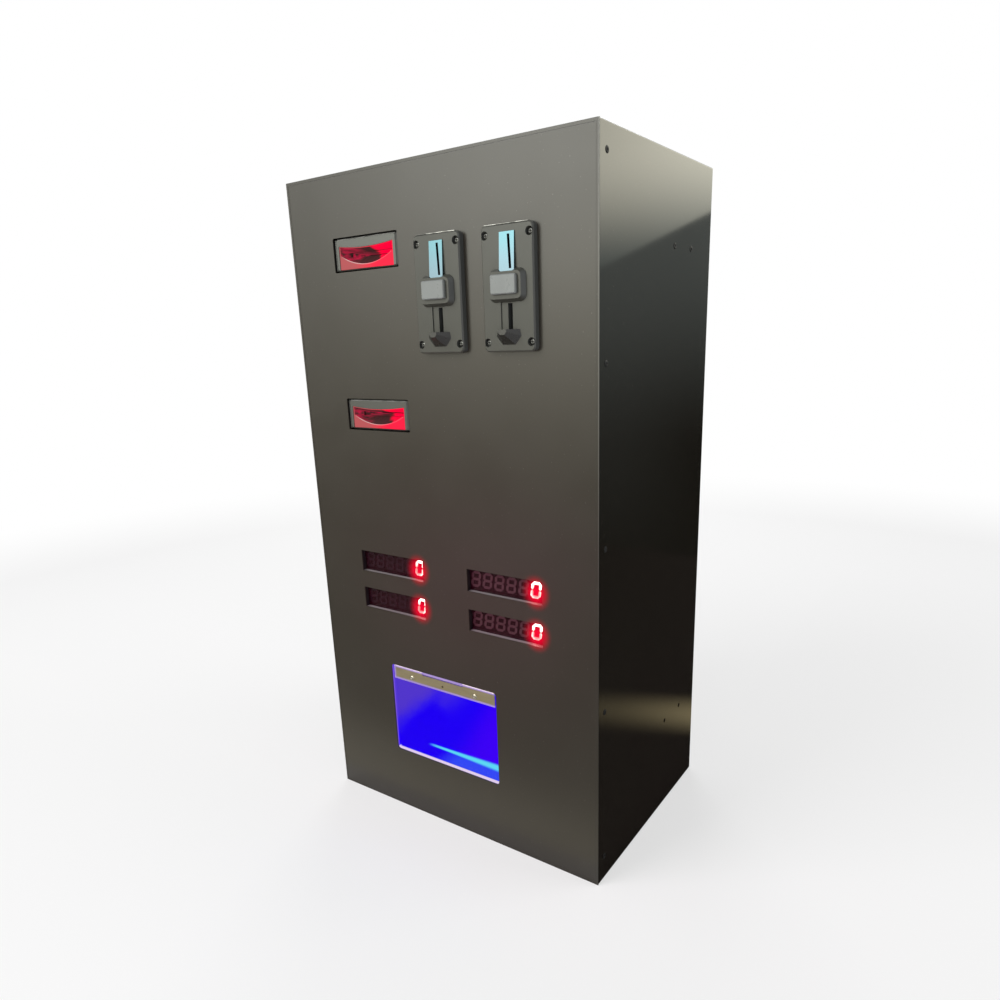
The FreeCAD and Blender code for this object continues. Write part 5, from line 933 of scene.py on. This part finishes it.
def bezel_flanges():
    """The thin flanges of each acceptor's bezel, which narrow the gaps beside it."""
    dark = plastic("flange_grey", (0.045, 0.046, 0.040), 0.4)
    for row in ("upper", "lower"):
        low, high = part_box("bill_bezel_" + row)

        def build(work, low=low, high=high):
            back = low.y + 1.0 * MM
            for left, right in ((low.x - 1.7 * MM, low.x), (high.x, high.x + 1.2 * MM)):
                add_block(work, (left, back, low.z + 0.4 * MM),
                          (right, back + 1.2 * MM, high.z - 0.4 * MM), 0.3 * MM)

        new_piece("bezel_flange_" + row, build, dark, "cabinet", False)


def hinge_rivet():
    """The small rivet between the flap's two screws."""
    level = middle("flap_screws").z
    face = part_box("flap_hinge_moving_leaf")[0].y
    outline = [(math.cos(math.pi * step / 8), math.sin(math.pi * step / 8)) for step in range(16)]
    profile = ((1.5 * MM, -0.2 * MM), (1.5 * MM, 0.25 * MM), (1.1 * MM, 0.45 * MM), (0.6 * MM, 0.15 * MM))

    def build(work):
        place = facing((sum(FLAP_SCREWS) / 2, face, level), (0, -1, 0))
        stack_rings(work, [[place @ Vector((x * size, z * size, tall)) for x, z in outline]
                           for size, tall in profile])

    new_piece("hinge_rivet", build, plated("rivet_brown", (0.12, 0.09, 0.07), 0.4), "flap")


# Displays

DIGIT_TALL = 20.4 * MM
DIGIT_WIDE = 13.8 * MM
DIGIT_DROP = 1.2 * MM
STROKE = 3.3 * MM
SEGMENT_GAP = 0.15 * MM
SLANT = math.tan(math.radians(8))
SEGMENT_PROUD = 0.25 * MM
DIGITS = 6
DIGIT_PITCH = 17.2 * MM
NOUGHT = "abcdef"
EIGHT = "abcdefg"
DIGIT_SHIFT = {"left": 1.6 * MM, "right": 0.9 * MM}
GLOW_WIDE = 46 * MM
GLOW_TALL = 52 * MM
GLOW_SHIFT = 5 * MM


def segment_outline(letter):
    """The six corners of one segment of a digit about its centre, upright."""
    half_wide = (DIGIT_WIDE - STROKE) / 2
    half_tall = (DIGIT_TALL - STROKE) / 2
    half = STROKE / 2
    levels = {"a": half_tall, "g": 0, "d": -half_tall}
    if letter in levels:
        reach = half_wide - SEGMENT_GAP
        level = levels[letter]
        return [(-reach, level), (-reach + half, level - half), (reach - half, level - half),
                (reach, level), (reach - half, level + half), (-reach + half, level + half)]
    across = half_wide if letter in "bc" else -half_wide
    low, high = (0, half_tall) if letter in "bf" else (-half_tall, 0)
    low += SEGMENT_GAP
    high -= SEGMENT_GAP
    return [(across, low), (across + half, low + half), (across + half, high - half),
            (across, high), (across - half, high - half), (across - half, low + half)]


def add_segments(work, letters, centre):
    """Some segments of a digit, in relief on the face that its centre is on."""
    for letter in letters:
        points = [(centre.x + across + up * SLANT, centre.z + up) for across, up in segment_outline(letter)]
        stack_rings(work, [[Vector((across, face, up)) for across, up in points]
                           for face in (centre.y, centre.y - SEGMENT_PROUD)])


def displays():
    """Six digits a window. The last shows a lit nought with its glow, the others are dark."""
    off = {"left": plastic("segment_dim", (0.035, 0.022, 0.035), 0.35),
           "right": plastic("segment_off", (0.24, 0.135, 0.15), 0.35)}
    lit = glowing("segment_lit", (1.0, 0.6, 0.55), 20.0)
    halo = halo_look()
    for side in ("left", "right"):
        for row in ("upper", "lower"):
            node = "display_board_%s_%s" % (side, row)
            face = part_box(node)[0].y
            centre = middle(node) - Vector((0, 0, DIGIT_DROP))
            *dark, bright = [Vector((centre.x + (step - (DIGITS - 1) / 2) * DIGIT_PITCH + DIGIT_SHIFT[side],
                                     face, centre.z)) for step in range(DIGITS)]

            def unlit(work, spots=dark, at=bright):
                for spot in spots:
                    add_segments(work, EIGHT, spot)
                add_segments(work, "g", at)

            def nought(work, at=bright):
                add_segments(work, NOUGHT, at)

            place = "_%s_%s" % (side, row)
            new_piece("digits_off" + place, unlit, off[side], "cabinet", False)
            new_piece("digit_lit" + place, nought, lit, "cabinet", False)
            glow_piece("digit_glow" + place, halo, bright)


def glow_piece(name, material, centre):
    """A thin film in front of the window and the panel that carries a lit digit's glow."""
    mesh = bpy.data.meshes.new(name)
    wide = GLOW_WIDE / 2
    tall = GLOW_TALL / 2
    corners = [(-wide, -tall), (wide, -tall), (wide, tall), (-wide, tall)]
    points = [(centre.x + GLOW_SHIFT + across, FACE - 0.3 * MM, centre.z + up) for across, up in corners]
    mesh.from_pydata(points, [], [(0, 1, 2, 3)])
    layer = mesh.uv_layers.new(name="UVMap")
    for loop, (across, up) in zip(mesh.loops, corners):
        layer.data[loop.index].uv = (0.5 + across / GLOW_WIDE, 0.5 + up / GLOW_TALL)
    mesh.materials.append(material)
    piece = bpy.data.objects.new(name, mesh)
    bpy.context.scene.collection.objects.link(piece)
    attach(piece, "cabinet")


# Springs

SPRING_TURNS = 6
SPRING_STEPS = 24
SPRING_SIDES = 8
WIRE = 0.55 * MM


def springs(looks):
    """Round-wire springs behind the reject buttons."""
    for side in ("left", "right"):
        node = "reject_spring_" + side
        low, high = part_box(node)
        centre = (low + high) / 2
        coil = (high.x - low.x) / 2 - WIRE
        count = SPRING_TURNS * SPRING_STEPS

        def build(work, low=low, high=high, centre=centre, coil=coil, count=count):
            rings = []
            for step in range(count + 1):
                angle = 2 * math.pi * step / SPRING_STEPS
                along = low.y + WIRE + (high.y - low.y - 2 * WIRE) * step / count
                out = Vector((math.cos(angle), 0, math.sin(angle)))
                at = Vector((centre.x, along, centre.z)) + out * coil
                rings.append(tube_ring(at, out, Vector((0, 1, 0)), WIRE, SPRING_SIDES))
            stack_rings(work, rings)

        piece = new_piece("button_spring_" + side, build, looks["spring_steel"], "cabinet")
        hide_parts(node)
        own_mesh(piece)


# All together

def dress(looks):
    """Every solid takes the material of its slot, but the throats, heads, bezels, cups and flap hinge
    take their own."""
    for row in frame["record"]["subparts"]:
        name = row["node"]
        slot = row["material_slot"]
        if slot == "red_guide":
            material = light_guide(name + "_look", name)
        elif name.startswith("bill_head_"):
            material = lit_head(name + "_look", name.replace("head", "throat"))
        elif name.startswith("bill_bezel_"):
            material = bezel_look(name + "_look", name)
        elif name.startswith("return_cup_"):
            material = looks["cup"]
        elif name.startswith("flap_hinge_"):
            material = looks["flap_hinge"]
        else:
            material = looks[slot]
        thing = nodes[name]
        if not thing.material_slots:
            thing.data.materials.append(material)
        for holder in thing.material_slots:
            holder.material = material


def main():
    make_camera()
    make_world()
    make_floor()
    make_lights()
    looks = make_looks()
    dress(looks)
    side_screws()
    plate_screws(looks)
    flap_screws(looks)
    smile_beads()
    front_rim(looks)
    plate_edges()
    bezel_flanges()
    hinge_rivet()
    displays()
    springs(looks)
    bpy.context.scene.view_settings.view_transform = "Standard"


main()
